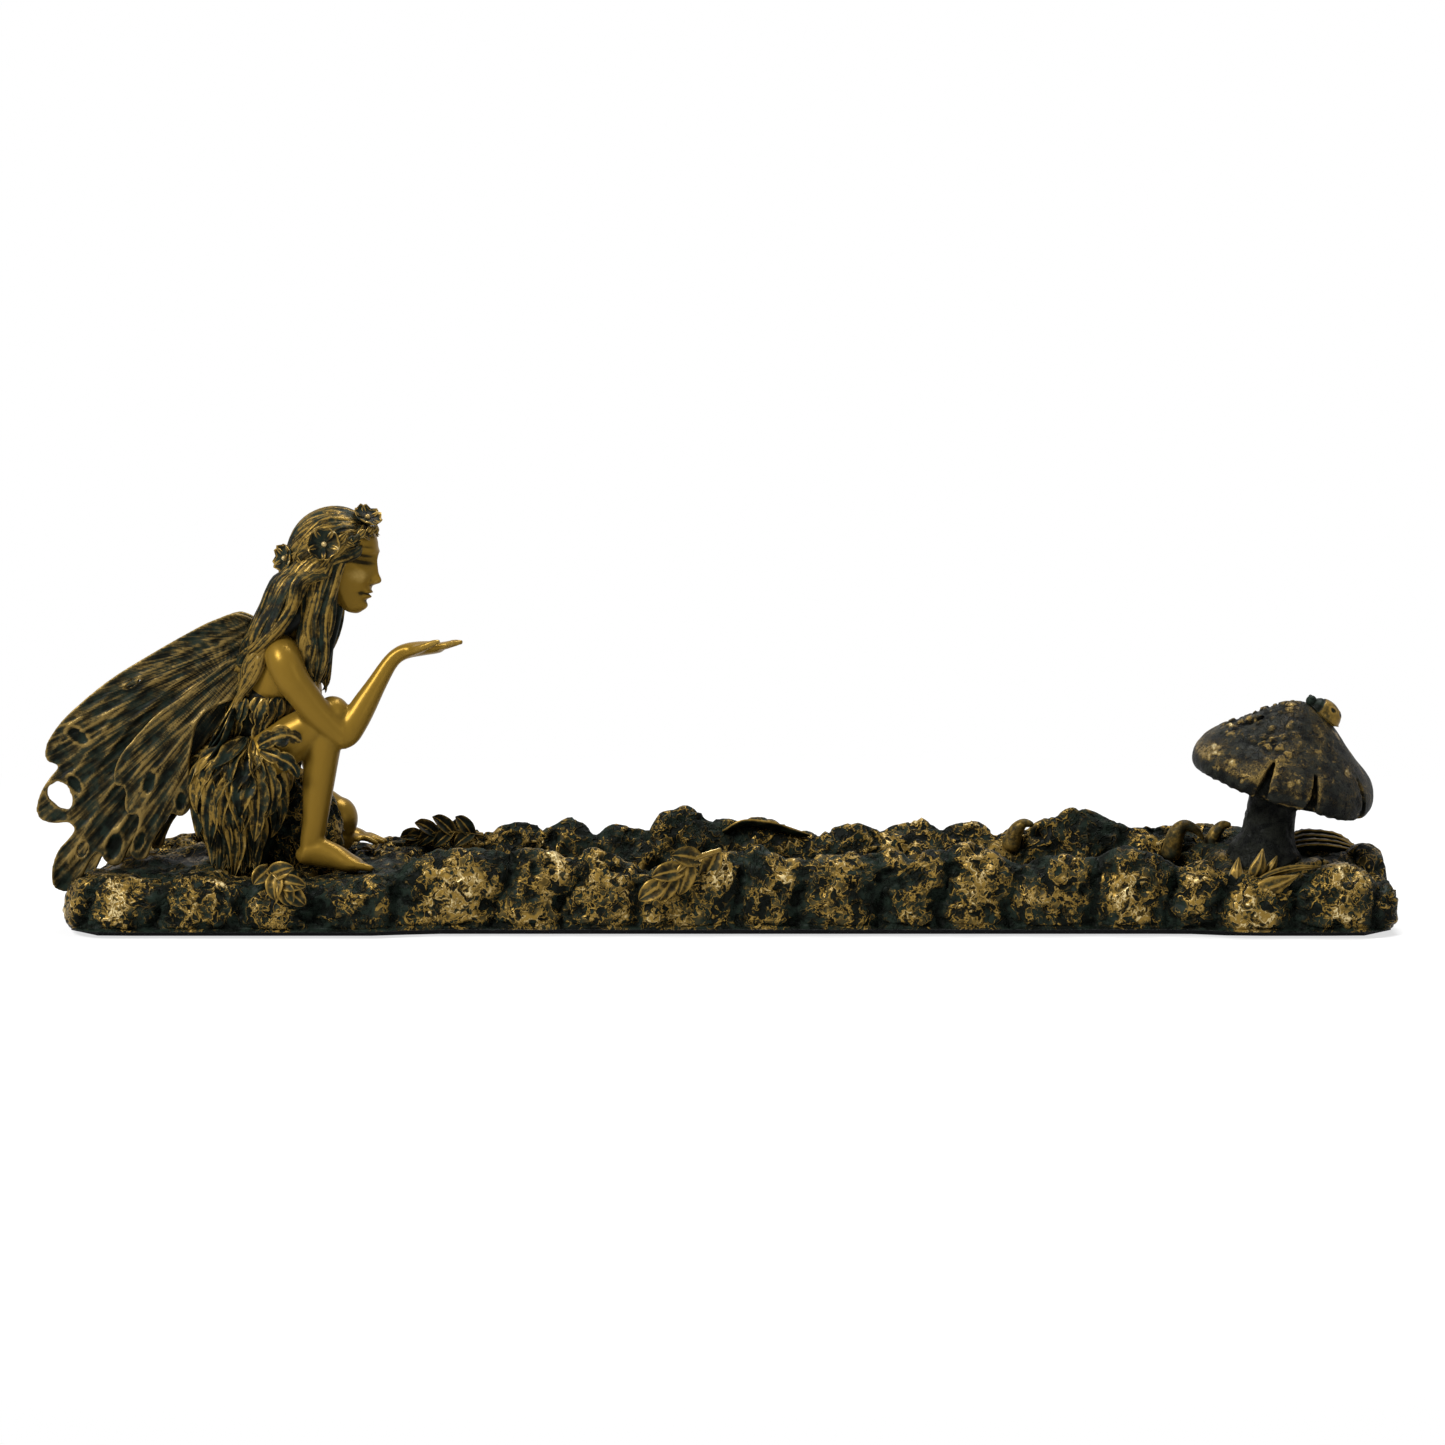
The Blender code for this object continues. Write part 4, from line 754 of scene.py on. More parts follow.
NECK = ((1.6, 0.0, 50.0, 5.8, 5.2), (4.2, 0.0, 54.6, 4.0, 4.0), (8.0, 0.0, 60.4, 3.5, 3.5),
        (11.0, 0.0, 66.0, 3.8, 4.0))
FINGERS = ((-2.7, 4.6, 0.85), (-0.95, 5.8, 0.95), (0.95, 6.2, 0.95), (2.7, 5.4, 0.88))


def hand(bm, knuckles, rise, thumb_rows):
    x, y, z = knuckles
    for offset, length, radius in FINGERS:
        rows = (
            (x - 2.4, y + offset * 0.9, z - 0.2, radius, radius),
            (x + length * 0.35, y + offset * 1.12, z + rise * 0.25, radius, radius * 0.95),
            (x + length * 0.72, y + offset * 1.22, z + rise * 0.7, radius * 0.9, radius * 0.85),
            (x + length, y + offset * 1.26, z + rise, radius * 0.6, radius * 0.6),
        )
        form(bm, rows, 4, 12)
    form(bm, thumb_rows, 4, 12)


def figure_skin():
    bm = bmesh.new()
    for rows in (TORSO, NECK, NEAR_THIGH, NEAR_SHIN, NEAR_FOOT, FAR_THIGH, FAR_SHIN, NEAR_UPPER_ARM,
                 NEAR_FOREARM,
                 FAR_UPPER_ARM, FAR_FOREARM):
        form(bm, rows)
    for direction in (-1, 1):
        ball(bm, FIGURE + (3.4, 4.6 * direction, 41.4), (4.4, 4.4, 4.2))
    for y, radius, length in TOES:
        form(bm, ((17.0, y, 1.5, radius, radius), (18.8, y, 1.3, radius, radius * 0.95),
                  (17.4 + length, y, 0.8, radius * 0.85, radius * 0.75)), 3, 12)
    ball(bm, FIGURE + (12.0, -8.4, 36.2), (3.9, 4.0, 3.9))
    ball(bm, FIGURE + (11.6, 8.0, 10.0), (4.2, 4.8, 5.2))
    hand(bm, (35.0, -3.55, 51.0), 1.1, (
        (29.6, -6.2, 50.0, 1.2, 1.1), (32.2, -7.9, 51.0, 1.05, 1.0), (34.6, -8.6, 52.0, 0.9, 0.85),
        (36.4, -8.7, 52.6, 0.6, 0.6),
    ))
    hand(bm, (15.6, 13.4, 5.6), -1.6, (
        (10.8, 11.6, 7.4, 1.1, 1.0), (13.0, 9.9, 6.2, 1.0, 0.9), (15.0, 9.4, 5.2, 0.8, 0.8),
        (16.0, 9.3, 4.8, 0.6, 0.6),
    ))
    mesh = one_skin(bm, 0.42, 5, "figure_skin")
    points = points_of(mesh)
    ridge = highness(mesh, 30, 0.5)
    local = points / MM - FIGURE
    relief = 0.55 + 0.5 * (ridge - 0.5)
    # painted shade: the skin darkens behind and below the hips, where the figure sits on the rock
    seat = ease(local[:, 2], 26.0, 18.0) * ease(local[:, 0], 2.0, -4.0)
    relief = relief - 0.4 * seat
    # painted shade: the skin darkens towards its lowest points, where the feet and shins meet the rock
    relief = relief - 0.25 * ease(local[:, 2], 5.0, 0.0)
    set_relief(mesh, np.clip(relief, 0, 1))
    return mesh


# The head, in its own frame: x to the face, z to the crown

HEAD = (13.3, 0.0, 72.3)
HEAD_BOW = Matrix.Rotation(math.radians(9.0), 4, "Y")
HEAD_TURN = Matrix.Rotation(math.radians(-13.0), 4, "Z")
# Each mark is across, up, half width, half height and how far it stands out
FACE_MARKS = (
    (2.6, 1.9, 2.2, 0.75, 0.5), (3.3, -0.4, 1.9, 1.3, -1.6), (3.2, -0.6, 1.3, 0.85, 1.15),
    (3.2, 0.3, 1.5, 0.24, 0.34), (3.2, -1.2, 1.4, 0.22, -0.28), (4.3, -4.0, 2.3, 2.4, 0.95),
    (1.2, -5.1, 0.6, 0.55, 0.62), (0.0, 5.0, 4.5, 3.0, 0.3), (2.2, -8.0, 0.5, 0.6, -0.3),
    (6.0, 0.5, 1.5, 2.5, -0.3), (0.0, -7.5, 1.5, 0.42, 0.75), (0.0, -8.6, 1.25, 0.48, 0.8),
    (0.0, -8.0, 1.9, 0.2, -0.55), (0.0, -9.7, 1.4, 0.5, -0.4), (0.0, -11.0, 1.9, 1.2, 0.75),
    (0.0, -6.4, 0.35, 0.5, -0.16),
)
# Where patina stays in the face, written in the same way
FACE_SHADES = (
    (3.7, -0.95, 2.0, 0.3, -0.8), (3.6, 0.62, 1.9, 0.28, -0.5), (3.2, 2.6, 2.0, 0.35, -0.3),
    (0.0, -8.02, 1.9, 0.24, -0.7), (0.85, -5.9, 0.5, 0.3, -0.6), (1.75, -4.9, 0.35, 0.8, -0.35),
    (0.0, -9.7, 1.2, 0.4, -0.3), (2.2, -8.0, 0.5, 0.6, -0.35),
)


def marks_on(y, z, marks):
    """The sum of soft bumps on the face. Those off the middle are on both sides."""
    made = np.zeros_like(z)
    for across, place, wide, tall, amount in marks:
        for side in ((-1, 1) if across else (1,)):
            made += amount * np.exp(-(((y - side * across) / wide) ** 2) - ((z - place) / tall) ** 2)
    return made


def head():
    bm = bmesh.new()
    up = np.linspace(0, math.pi, 150)
    turn = np.linspace(0, 2 * math.pi, 181)
    ring = np.sin(up)[:, None]
    height = np.cos(up)[:, None] + 0 * turn
    z = np.where(height > 0, 10.0, 13.0) * height
    low = np.clip(-height, 0, 1)
    fore = np.cos(turn)[None, :]
    lateral = np.sin(turn)[None, :]
    fullness = ring ** (1 - 0.28 * low)
    rounder = np.where(fore > 0, np.abs(fore) ** (1 + 0.75 * ease(z, 5.0, 0.0)), fore)
    x = (8.6 - 3.9 * low**1.5) * fullness * rounder + 4.9 * low**1.3
    y = (7.5 - 3.1 * low**1.3) * fullness * lateral
    facing = ease(fore * fullness, 0.15, 0.6)
    out = marks_on(y, z, FACE_MARKS)
    slope = np.clip((1.8 - z) / 6.4, 0, 1)
    bridge = (0.25 + 0.85 * slope**1.5) * np.exp(-((y / (0.8 + 0.35 * slope)) ** 2))
    bridge = bridge * ease(z, -6.2, -5.0) * (1 - ease(z, 0.8, 2.8))
    tip = 0.85 * np.exp(-((y / 1.05) ** 2) - ((z + 4.5) / 1.15) ** 2)
    x = x + (out + bridge + tip) * facing
    # the skull sits lower under the hair
    under_hair = ease(z, 6.0, 8.0)
    skull = 1 - 0.13 * under_hair
    local = np.stack((x * skull, y * skull, z * skull), axis=-1)
    turned = local @ np.array((HEAD_BOW @ HEAD_TURN).to_3x3()).T
    points = closed_form((turned + np.array(HEAD) + FIGURE) * MM)
    relief = 0.56 + (0.3 * out + 0.08 * (bridge + tip) + marks_on(y, z, FACE_SHADES)) * facing
    relief = relief * (1 - 0.9 * under_hair)
    sheet_of(bm, points, np.clip(relief, 0, 1))
    return mesh_of(closed_up(bm), "head")


# The hair

FORE_POLE = np.array((0.78, 0.0, 0.62))
CROWN_WAY = np.array((-0.62, 0.0, 0.78))
CAP_RADII = np.array((9.9, 8.9, 10.6))
CAP_CENTRE = np.array((11.6, 0.0, 71.6))


def on_cap(direction, lift):
    local = unit(direction) * (CAP_RADII + lift)
    return local @ np.array(HEAD_BOW.to_3x3()).T + CAP_CENTRE + FIGURE


def lock(bm, centres, width, depth, grooves, side, sides=24, level=0.5, taper=3.0):
    """A lock of hair: it swells from its root and runs out to a point."""
    t = np.linspace(0, 1, len(centres))
    full = np.clip(np.minimum(1, (t / 0.1 + 0.05)) * (1 - t**taper), 0, 1) ** 0.8
    full[0] = 0.0
    full[-1] = 0.0
    tube(bm, centres * MM, width * full * MM, depth * full * MM, side, sides, grooves, 0.1, level, 2.6)


def combed_strands(bm, rng):
    """Combed strands over the skull."""
    for k in range(57):
        around = math.radians(-100 + 222 * k / 56 + rng.uniform(-1.5, 1.5))
        start = math.radians(7 + 33 * abs(math.sin(around)) ** 2 + rng.uniform(-2, 3))
        s = np.linspace(start, math.radians(168), 24)[:, None]
        sway = 0.06 * np.sin(5 * s + k)
        direction = np.cos(s) * FORE_POLE + np.sin(s) * (
            np.cos(around + sway) * CROWN_WAY + np.sin(around + sway) * np.array((0.0, 1.0, 0.0)))
        centres = on_cap(direction, 0.05 + 0.3 * rng.random())
        outward = unit(centres - (CAP_CENTRE + FIGURE))
        side = np.cross(outward, unit(np.gradient(centres, axis=0)))
        lock(bm, centres, 1.3, 0.9, 5, side, 18, rng.uniform(0.34, 0.56), 12.0)


def back_waves(bm, rng):
    """Long waves down the back, from the near shoulder round to the far one."""
    for layer, count in ((0, 21), (1, 19), (2, 15)):
        for k in range(count):
            a = -1 + 2 * (k + 0.5 * (layer % 2)) / (count - 1) + rng.uniform(-0.03, 0.03)
            back = math.cos(a * 1.45)
            lift = 0.6 + 0.8 * layer
            top = CAP_CENTRE + np.array((-9.0 * math.cos(a * 1.7), 9.0 * math.sin(a * 1.7),
                                         1.0 - 2.5 * layer))
            length = (0.0, 5.0, 11.0)[layer] + rng.uniform(-2, 2)
            rows = np.array((
                top, (6.2 - 5.2 * back - lift * back, (9.6 + lift) * math.sin(a * 1.5), 66.5),
                (3.2 - 5.4 * back - lift * back, (10.6 + lift) * math.sin(a * 1.5), 60.0),
                (-1.4 - 4.6 * back - lift * back, (11.2 + lift) * math.sin(a * 1.4), 53.0),
                (-5.0 - 4.2 * back, 10.8 * math.sin(a * 1.35), 46.5 + length * 0.3),
                (-7.6 - 2.6 * back, 9.6 * a, 40.0 + length * 0.6),
                (-8.8 - 1.6 * back, 8.6 * a, 35.5 + length),
            ))
            centres = curve_through(rows + FIGURE, 5)
            t = np.linspace(0, 1, len(centres))
            wave = np.sin(2 * math.pi * (2.1 * t + rng.random()))[:, None] * (0.25 + 1.1 * t[:, None])
            side = unit(np.array((math.sin(a * 1.5), math.cos(a * 1.5), 0.0)))
            ripple = np.array((-back, math.sin(a * 1.5), 0)) * np.cos(9 * t + k)[:, None] * 0.35
            centres = centres + wave * side * 1.15 + ripple
            lock(bm, centres, rng.uniform(1.2, 1.9), rng.uniform(0.9, 1.3), 6, side, 24,
                 rng.uniform(0.3, 0.62))


def temple_locks(bm, rng):
    """Locks that fall from the temples over the front of the shoulders."""
    for direction, count, spread, path in (
        (-1, 15, (2.4, 2.2, 2.4, 2.8, 2.8, 2.6, 1.8, 0.8), (
            (17.0, 5.0, 79.4), (14.0, 7.8, 74.6), (11.0, 8.9, 69.6), (9.8, 9.3, 63.8), (8.4, 10.0, 57.0),
            (7.6, 10.6, 51.5), (7.9, 10.2, 46.5), (8.8, 9.4, 43.0))),
        (1, 13, (2.4, 2.6, 2.4, 2.2, 2.0, 2.0, 1.4, 0.7), (
            (17.0, 5.0, 79.4), (16.2, 7.2, 74.4), (12.8, 8.6, 69.0), (10.2, 9.0, 63.6), (9.0, 9.6, 56.5),
            (7.8, 10.2, 49.0), (6.8, 10.0, 43.4), (6.6, 9.6, 40.6))),
    ):
        for k in range(count):
            shift = (k / (count - 1) - 0.5) * 2
            rows = np.array(path)
            rows[:, 0] += np.array(spread) * shift + rng.uniform(-0.3, 0.3)
            rows[:3, 1] -= np.array((1.6, 1.2, 0.5)) * max(0.0, shift)
            rows[:, 1] += rng.uniform(-0.6, 0.5)
            rows[5:, 2] += np.array((0.5, 1.0, 1.0)) * rng.uniform(-1.5, 3.5)
            rows[:, 1] *= direction
            centres = curve_through(rows + FIGURE, 4)
            t = np.linspace(0, 1, len(centres))
            wave = np.sin(2 * math.pi * (2.0 * t + rng.random()))[:, None] * (0.15 + 0.9 * t[:, None])
            centres = centres + wave * np.array((1.0, 0.3, 0.0))
            lock(bm, centres, rng.uniform(1.0, 1.6), rng.uniform(0.8, 1.1), 5, (1.0, 0.0, 0.0), 20,
                 rng.uniform(0.3, 0.6))


def hair(rng):
    bm = bmesh.new()
    form(bm, ((9.6, 0, 76.0, 3.4, 3.0), (8.0, 0, 73.4, 5.6, 4.6), (6.2, 0, 68.0, 8.6, 5.0),
              (2.8, 0, 62.0, 9.8, 5.4), (-1.2, 0, 56.0, 10.6, 4.8), (-5.2, 0, 48.0, 10.0, 3.8),
              (-8.2, 0, 41.0, 7.2, 2.8), (-9.4, 0, 37.0, 4.0, 1.4)),
         4, 28, level=0.15)
    for direction in (-1, 1):
        rows = np.array(((11.0, 7.4, 68.0, 1.8, 2.4), (9.4, 8.6, 61.0, 2.2, 3.6), (8.0, 9.0, 53.0, 2.0, 3.2),
                         (8.2, 8.6, 47.0, 1.0, 1.4)))
        rows[:, 1] *= direction
        form(bm, rows, 4, 16, level=0.15)
    # the inner form ends short of the face
    ball(bm, FIGURE + CAP_CENTRE - np.array((1.3, 0.0, 0.0)), CAP_RADII - np.array((1.8, 0.5, 0.5)), HEAD_BOW)
    combed_strands(bm, rng)
    back_waves(bm, rng)
    temple_locks(bm, rng)
    return mesh_of(closed_up(bm), "hair")


# Leaves, petals and drapery

# Rows of x, y, z and half width are moved by this to the figure's place
FIGURE_ROW = np.append(FIGURE, 0)


def leaf(bm, rows, side, outward, lobes=0, notch=0.35, curl=0.35, thick=0.5, rib=0.35, veins=0.0, columns=11,
         steps=5, level=0.5,
         stripes=0, rim=0.55):
    """A leaf along rows of x, y, z and half width in mm: a rib, curled edges and notched lobes."""
    stations = curve_through(rows, steps)
    centres = stations[:, :3]
    across, over = frames_along(centres, side)
    flip = np.sign(np.sum(over * np.asarray(outward, float), axis=1, keepdims=True))
    flip[flip == 0] = 1
    over = over * flip
    t = np.linspace(0, 1, len(stations))
    half = np.maximum(stations[:, 3], 0.02)
    if lobes:
        saw = (t * lobes) % 1.0
        half = half * (1 - notch * (1 - np.sin(math.pi * np.clip(saw, 0, 1)) ** 0.6))
    v = np.linspace(-1, 1, columns)
    height = curl * v**2 + rib * np.exp(-((v / 0.16) ** 2))
    ribs = veins * np.cos(2 * math.pi * (t[:, None] * (lobes or 4) * 2 - np.abs(v) * 1.4))
    comb = np.cos(stripes * math.pi * v) * (1 - v**4) * bool(stripes)
    top = (height + 0.16 * comb)[None, :] * np.minimum(1, half[:, None]) + ribs * (1 - np.abs(v))
    full = np.minimum(1, np.sin(math.pi * np.clip(t, 0.02, 0.98)) * 3)[:, None]
    upper = centres[:, None] + across[:, None] * (half[:, None] * v)[..., None]
    upper = upper + over[:, None] * top[..., None]
    body = thick * (1 - 0.8 * np.abs(v[::-1])) * full
    lower = upper[:, ::-1] - over[:, None] * body[..., None]
    loop = np.concatenate((upper, lower[:, 1:-1], upper[:, :1]), axis=1)
    high = level + rim * (np.abs(v) ** 3) - 0.15 + (0.0 if stripes else 0.45) * np.exp(-((v / 0.14) ** 2))
    high = high + 0.8 * ribs + 0.15 * comb
    relief = np.concatenate((high, np.full((len(t), columns - 2), 0.2), high[:, :1]), axis=1)
    loop[0] = centres[0]
    loop[-1] = centres[-1]
    run = np.concatenate(([0.0], np.cumsum(np.linalg.norm(np.diff(centres, axis=0), axis=1))))
    place = np.concatenate((v, v[::-1][1:-1], v[:1]))
    grain = np.stack(np.broadcast_arrays(half[:, None] * place[None] * 1.1, 0.3 * place[None],
                                         run[:, None] / 5.0), axis=-1)
    sheet_of(bm, loop * MM, np.clip(relief, 0, 1), grain + centres[0] * 1.3)


def lobed_leaf(bm, spine, side, outward, lobes, wide=1.3, level=0.5):
    """A leaf with pointed lobes beside its spine. Each lobe is where it starts, its angle and its length."""
    line = curve_through(spine, 12)
    across, _ = frames_along(line, side)
    outward = np.asarray(outward, float)
    for where, angle_deg, reach in lobes:
        i = min(int(where * (len(line) - 1)), len(line) - 2)
        along = unit(line[min(i + 2, len(line) - 1)] - line[max(i - 2, 0)])
        turn = math.radians(angle_deg)
        way = along * math.cos(turn) + across[i] * math.sin(turn)
        bend = unit(way + along * 0.5)
        start = line[i] - way * 0.6
        rows = [
            (*start, wide * 0.5), (*(start + way * reach * 0.35 + outward * 0.7), wide),
            (*(start + way * reach * 0.6 + bend * reach * 0.12 + outward * 0.6), wide * 0.8),
            (*(start + way * reach * 0.72 + bend * reach * 0.34 - outward * 0.3), 0.05),
        ]
        leaf(bm, np.array(rows), np.cross(outward, way), outward, 0, 0, 0.8, 0.9, 0.3, 0.0, 11, 6, level, 0,
             0.4)
    rows = np.column_stack((line[::4] + outward * 0.5, np.linspace(0.8, 0.3, len(line[::4]))))
    leaf(bm, rows, side, outward, 0, 0, -0.4, 0.9, 0.5, 0.0, 9, 3, level + 0.15)


def hip_point(angle, height, lift):
    """A point over the hips, by angle round from the front, in radians, and height in mm."""
    heights = (-4.0, 3.4, 10.0, 17.6, 25.0, 29.5, 33.0)
    wide = np.interp(height, heights, (8.6, 9.8, 12.4, 14.2, 12.2, 8.6, 8.2)) + lift
    deep = np.interp(height, heights, (6.0, 7.4, 9.6, 11.2, 10.0, 7.0, 6.4)) + lift
    middle = np.interp(height, heights, (-10.0, -9.6, -9.6, -9.6, -8.8, -7.2, -6.4))
    return np.array((middle + deep * math.cos(angle), wide * math.sin(angle), height)) + FIGURE


def skirt_petals(bm, rng):
    """The petals of the skirt, in four layers on each side."""
    for direction in (-1, 1):
        for layer, spread, drop in ((0, 11, 1.0), (1, 10, 0.8), (2, 9, 0.54), (3, 7, 0.32)):
            for k in range(spread):
                share = (k + 0.5) / spread
                end = math.radians(-178 + 150 * share + rng.uniform(-7, 7))
                start = math.radians(-92 + 34 * (share - 0.5))
                slant = math.cos(math.pi * (share - 0.45))
                low = 29.0 - (29.0 - (-1.0 + 11 * (1 - slant))) * drop + rng.uniform(-3.0, 3.0)
                flare = rng.uniform(0.0, 2.2)
                sway = rng.uniform(-0.14, 0.14)
                wide = rng.uniform(0.95, 1.55)
                rows = []
                for t in (0.0, 0.2, 0.4, 0.6, 0.8, 1.0):
                    angle = start + (end - start) * (1 - (1 - t) ** 1.7) + sway * math.sin(5.5 * t)
                    z = 30.5 + (low - 30.5) * t**1.25
                    swell = 1.3 * math.sin(math.pi * min(1, t * 1.1)) * (0.3 + 0.25 * layer)
                    lift = 0.3 + 0.45 * layer + swell + flare * t**3
                    point = hip_point(angle, z, lift)
                    rows.append((point[0], point[1] * -direction, point[2],
                                 wide * (0.5, 1.6, 2.3, 2.5, 1.8, 0.1)[round(t * 5)]))
                rows = np.array(rows)
                rows[1:, :3] += rng.uniform(-0.7, 0.7, (5, 3))
                outward = unit(rows[3, :3] - (FIGURE + (-9.0, 0, 14.0)))
                side = unit(np.cross(outward, rows[4, :3] - rows[2, :3]))
                leaf(bm, rows, side, outward, rng.integers(2, 4), 0.3, rng.uniform(0.2, 1.1), 0.9, 0.3, 0.0,
                     15, 5, rng.uniform(0.35, 0.65), 2, 0.3)


def ragged_ends(bm, rng):
    """The two ragged ends that reach the rock."""
    for foot, count in ((-13.5, 5), (-7.5, 6)):
        for k in range(count):
            shift = (k / (count - 1) - 0.5) * 4.0
            rows = (
                (foot + shift * 0.4, -11.4, 15.0, 1.0), (foot + shift * 0.8, -11.6, 9.0, 1.6),
                (foot + shift + rng.uniform(-0.5, 0.5), -11.0, 4.0, 1.5),
                (foot + shift * 0.9 + rng.uniform(-1, 1), -11.4, rng.uniform(-1.0, 1.5), 0.1),
            )
            leaf(bm, np.array(rows) + FIGURE_ROW, (1, 0, 0), (0, -1, 0), 0, 0, -0.5, 1.2, 0.1, 0.0, 11, 5,
                 rng.uniform(0.3, 0.6), 2)


def bodice_edge(bm, rng):
    """The frayed leaf edges of the bodice, pointing down over the waist."""
    for k in range(22):
        angle = math.radians(-180 + 360 * k / 22 + rng.uniform(-6, 6))
        rows = []
        for t in (0.0, 0.35, 0.7, 1.0):
            z = 40.0 - (9.5 + 3.0 * math.sin(2.3 * k)) * t
            middle = np.interp(z, (29, 33, 38, 44), (-7.2, -6.2, -4.2, -1.8))
            wide = np.interp(z, (26, 29, 33, 38, 44), (11.5, 9.6, 9.7, 10.4, 11.4)) + 0.7 * math.sin(3 * t)
            deep = np.interp(z, (26, 29, 33, 38, 44), (9.6, 7.6, 7.8, 8.4, 8.6)) + 0.7 * math.sin(3 * t)
            rows.append((middle + deep * math.cos(angle + 0.12 * t), wide * math.sin(angle + 0.12 * t), z,
                         (1.5, 2.4, 1.8, 0.15)[round(t * 3)]))
        rows = np.array(rows) + FIGURE_ROW
        outward = np.array((math.cos(angle), math.sin(angle), 0.1))
        leaf(bm, rows, (-math.sin(angle), math.cos(angle), 0.0), outward, 2, 0.4, 0.4, 0.8, 0.2, 0.0, 9, 4,
             0.4)


def back_folds(bm, rng):
    """Torn folds behind the waist."""
    for k in range(12):
        y = (k % 6) * 1.9 + 1.0
        top = 39.0 - 1.5 * (k % 3)
        rows = np.array((
            (-8.5 - 0.2 * y, y, top, 1.4), (-12.6 + rng.uniform(-0.6, 0.6), y + 0.8, top - 5.0, 2.6),
            (-15.6 + rng.uniform(-0.8, 0.6), y + 0.6, top - 9.5, 2.2),
            (-17.6 + rng.uniform(-1.2, 0.8), y, top - 13.5, 0.15),
        ))
        rows[:, 1] *= -1 if k < 6 else 1
        leaf(bm, rows + FIGURE_ROW, (0, 1.0, 0), (-1.0, 0, 0.3), 2, 0.35, 0.5, 0.9, 0.2, 0.0, 11, 6,
             rng.uniform(0.2, 0.5), 3, 0.3)


def thigh_leaves(bm):
    """Curled leaves over the near thigh."""
    for rows, side in (
        (((-4.5, -12.5, 29.0, 1.0), (-0.5, -14.6, 31.0, 2.6), (3.0, -14.8, 31.6, 2.2),
          (5.6, -13.6, 30.0, 0.2)), (0.3, 0, 1.0)),
        (((-4.0, -13.0, 28.0, 1.0), (0.5, -14.8, 26.4, 2.2), (3.4, -14.4, 24.6, 1.8),
          (4.6, -13.6, 21.8, 0.2)), (0.7, 0, 0.7)),
        (((-3.4, -12.8, 26.0, 1.0), (-1.6, -14.2, 21.6, 2.2), (-1.2, -14.2, 17.0, 2.0),
          (-2.2, -13.2, 13.0, 0.2)), (1.0, 0, 0.1)),
        (((-5.4, -13.2, 27.0, 1.0), (-4.4, -15.0, 21.0, 2.6), (-4.4, -14.8, 13.6, 2.2),
          (-5.6, -13.6, 7.0, 0.2)), (1.0, 0, 0.0)),
    ):
        leaf(bm, np.array(rows) + FIGURE_ROW, side, (0, -1, 0), 3, 0.4, 0.9, 0.9, 0.2, 0.0, 13, 8, 0.45, 0,
             0.35)


def dress(rng):
    bm = bmesh.new()
    form(bm, ((-7.2, 0, 31.0, 8.2, 6.4), (-8.8, 0, 25.0, 11.6, 9.4), (-9.6, 0, 17.6, 13.4, 10.6),
              (-9.4, 0, 10.0, 11.4, 8.8), (-9.6, 0, 3.4, 8.8, 6.0), (-10.0, 0, -2.6, 8.0, 5.0)), 5, 48,
              level=0.12)
    form(bm, ((-7.0, 0, 29.5, 8.6, 6.8), (-5.8, 0, 34.0, 9.0, 7.2), (-4.2, 0, 38.0, 9.8, 7.8),
              (-3.6, 0, 39.6, 9.9, 7.9)), 5, 48, level=0.3)
    skirt_petals(bm, rng)
    ragged_ends(bm, rng)
    bodice_edge(bm, rng)
    back_folds(bm, rng)
    thigh_leaves(bm)
    # the gathered knot at each hip
    for direction in (-1, 1):
        ball(bm, hip_point(math.radians(92 * direction), 29.2, 0.2), (1.7, 1.2, 1.6), detail=3)
    return mesh_of(closed_up(bm), "dress")


FLOWERS = (
    ((10.7, -10.8, 74.8), (0.0, -1.0, 0.08), 3.8, 0.3), ((19.6, -2.4, 80.6), (0.4, -0.5, 0.8), 3.5, 0.9),
    ((1.0, -4.2, 71.4), (-0.8, -0.7, 0.1), 3.4, 0.5), ((10.7, 10.1, 74.8), (0.0, 1.0, 0.2), 3.6, 0.4),
    ((1.6, 4.6, 71.4), (-0.85, 0.6, 0.1), 3.2, 0.1),
)


def blossom(bm, place, facing, radius, spin):
    """A flower with five broad cupped petals, raised edges and a round eye."""
    turn = np.array(facing.to_track_quat("Z", "Y").to_matrix())
    middle = np.array(place) + FIGURE
    u = np.linspace(0, 1, 12)[:, None]
    v = np.linspace(-1, 1, 13)[None, :]
    grown = np.sin(np.clip(u / 0.66, 0, 1) * math.pi / 2) ** 0.8
    rounding = np.sqrt(np.clip(1 - (np.clip(u - 0.62, 0, 1) / 0.385) ** 2, 0, 1))
    half = radius * 0.58 * (0.16 + 0.84 * grown) * rounding
    for k in range(5):
        angle = 2 * math.pi * k / 5 + spin
        reach = radius * (0.1 + 0.9 * u - 0.14 * u**4 * (1 - np.abs(v)))
        rise = radius * (0.16 * u**2 + 0.30 * np.abs(v) ** 2.5 * u + 0.03 * (k % 2))
        sheet = np.stack(np.broadcast_arrays(
            reach * math.cos(angle) - half * v * math.sin(angle),
            reach * math.sin(angle) + half * v * math.cos(angle), rise), axis=-1)
        under = sheet[:, ::-1] - np.array((0.0, 0.0, 0.45))
        loop = np.concatenate((sheet, under[:, 1:-1], sheet[:, :1]), axis=1)
        rim = np.maximum(np.abs(v) ** 5 * ease(u, 0.1, 0.5), ease(u, 0.84, 1.0))
        level = 0.22 + 0.75 * rim + 0.18 * np.exp(-((v / 0.1) ** 2)) * (1 - u)
        relief = np.concatenate((level, np.full((12, 11), 0.25), level[:, :1]), axis=1)
        sheet_of(bm, closed_form(loop @ turn.T + middle) * MM, np.clip(relief, 0, 1))
    ball(bm, middle + turn @ np.array((0.0, 0.0, 0.35)), (0.62, 0.62, 0.62), detail=3, level=0.95)
    ball(bm, middle - turn @ np.array((0.0, 0.0, 0.9)), (1.3, 1.3, 1.3), detail=3, level=0.3)


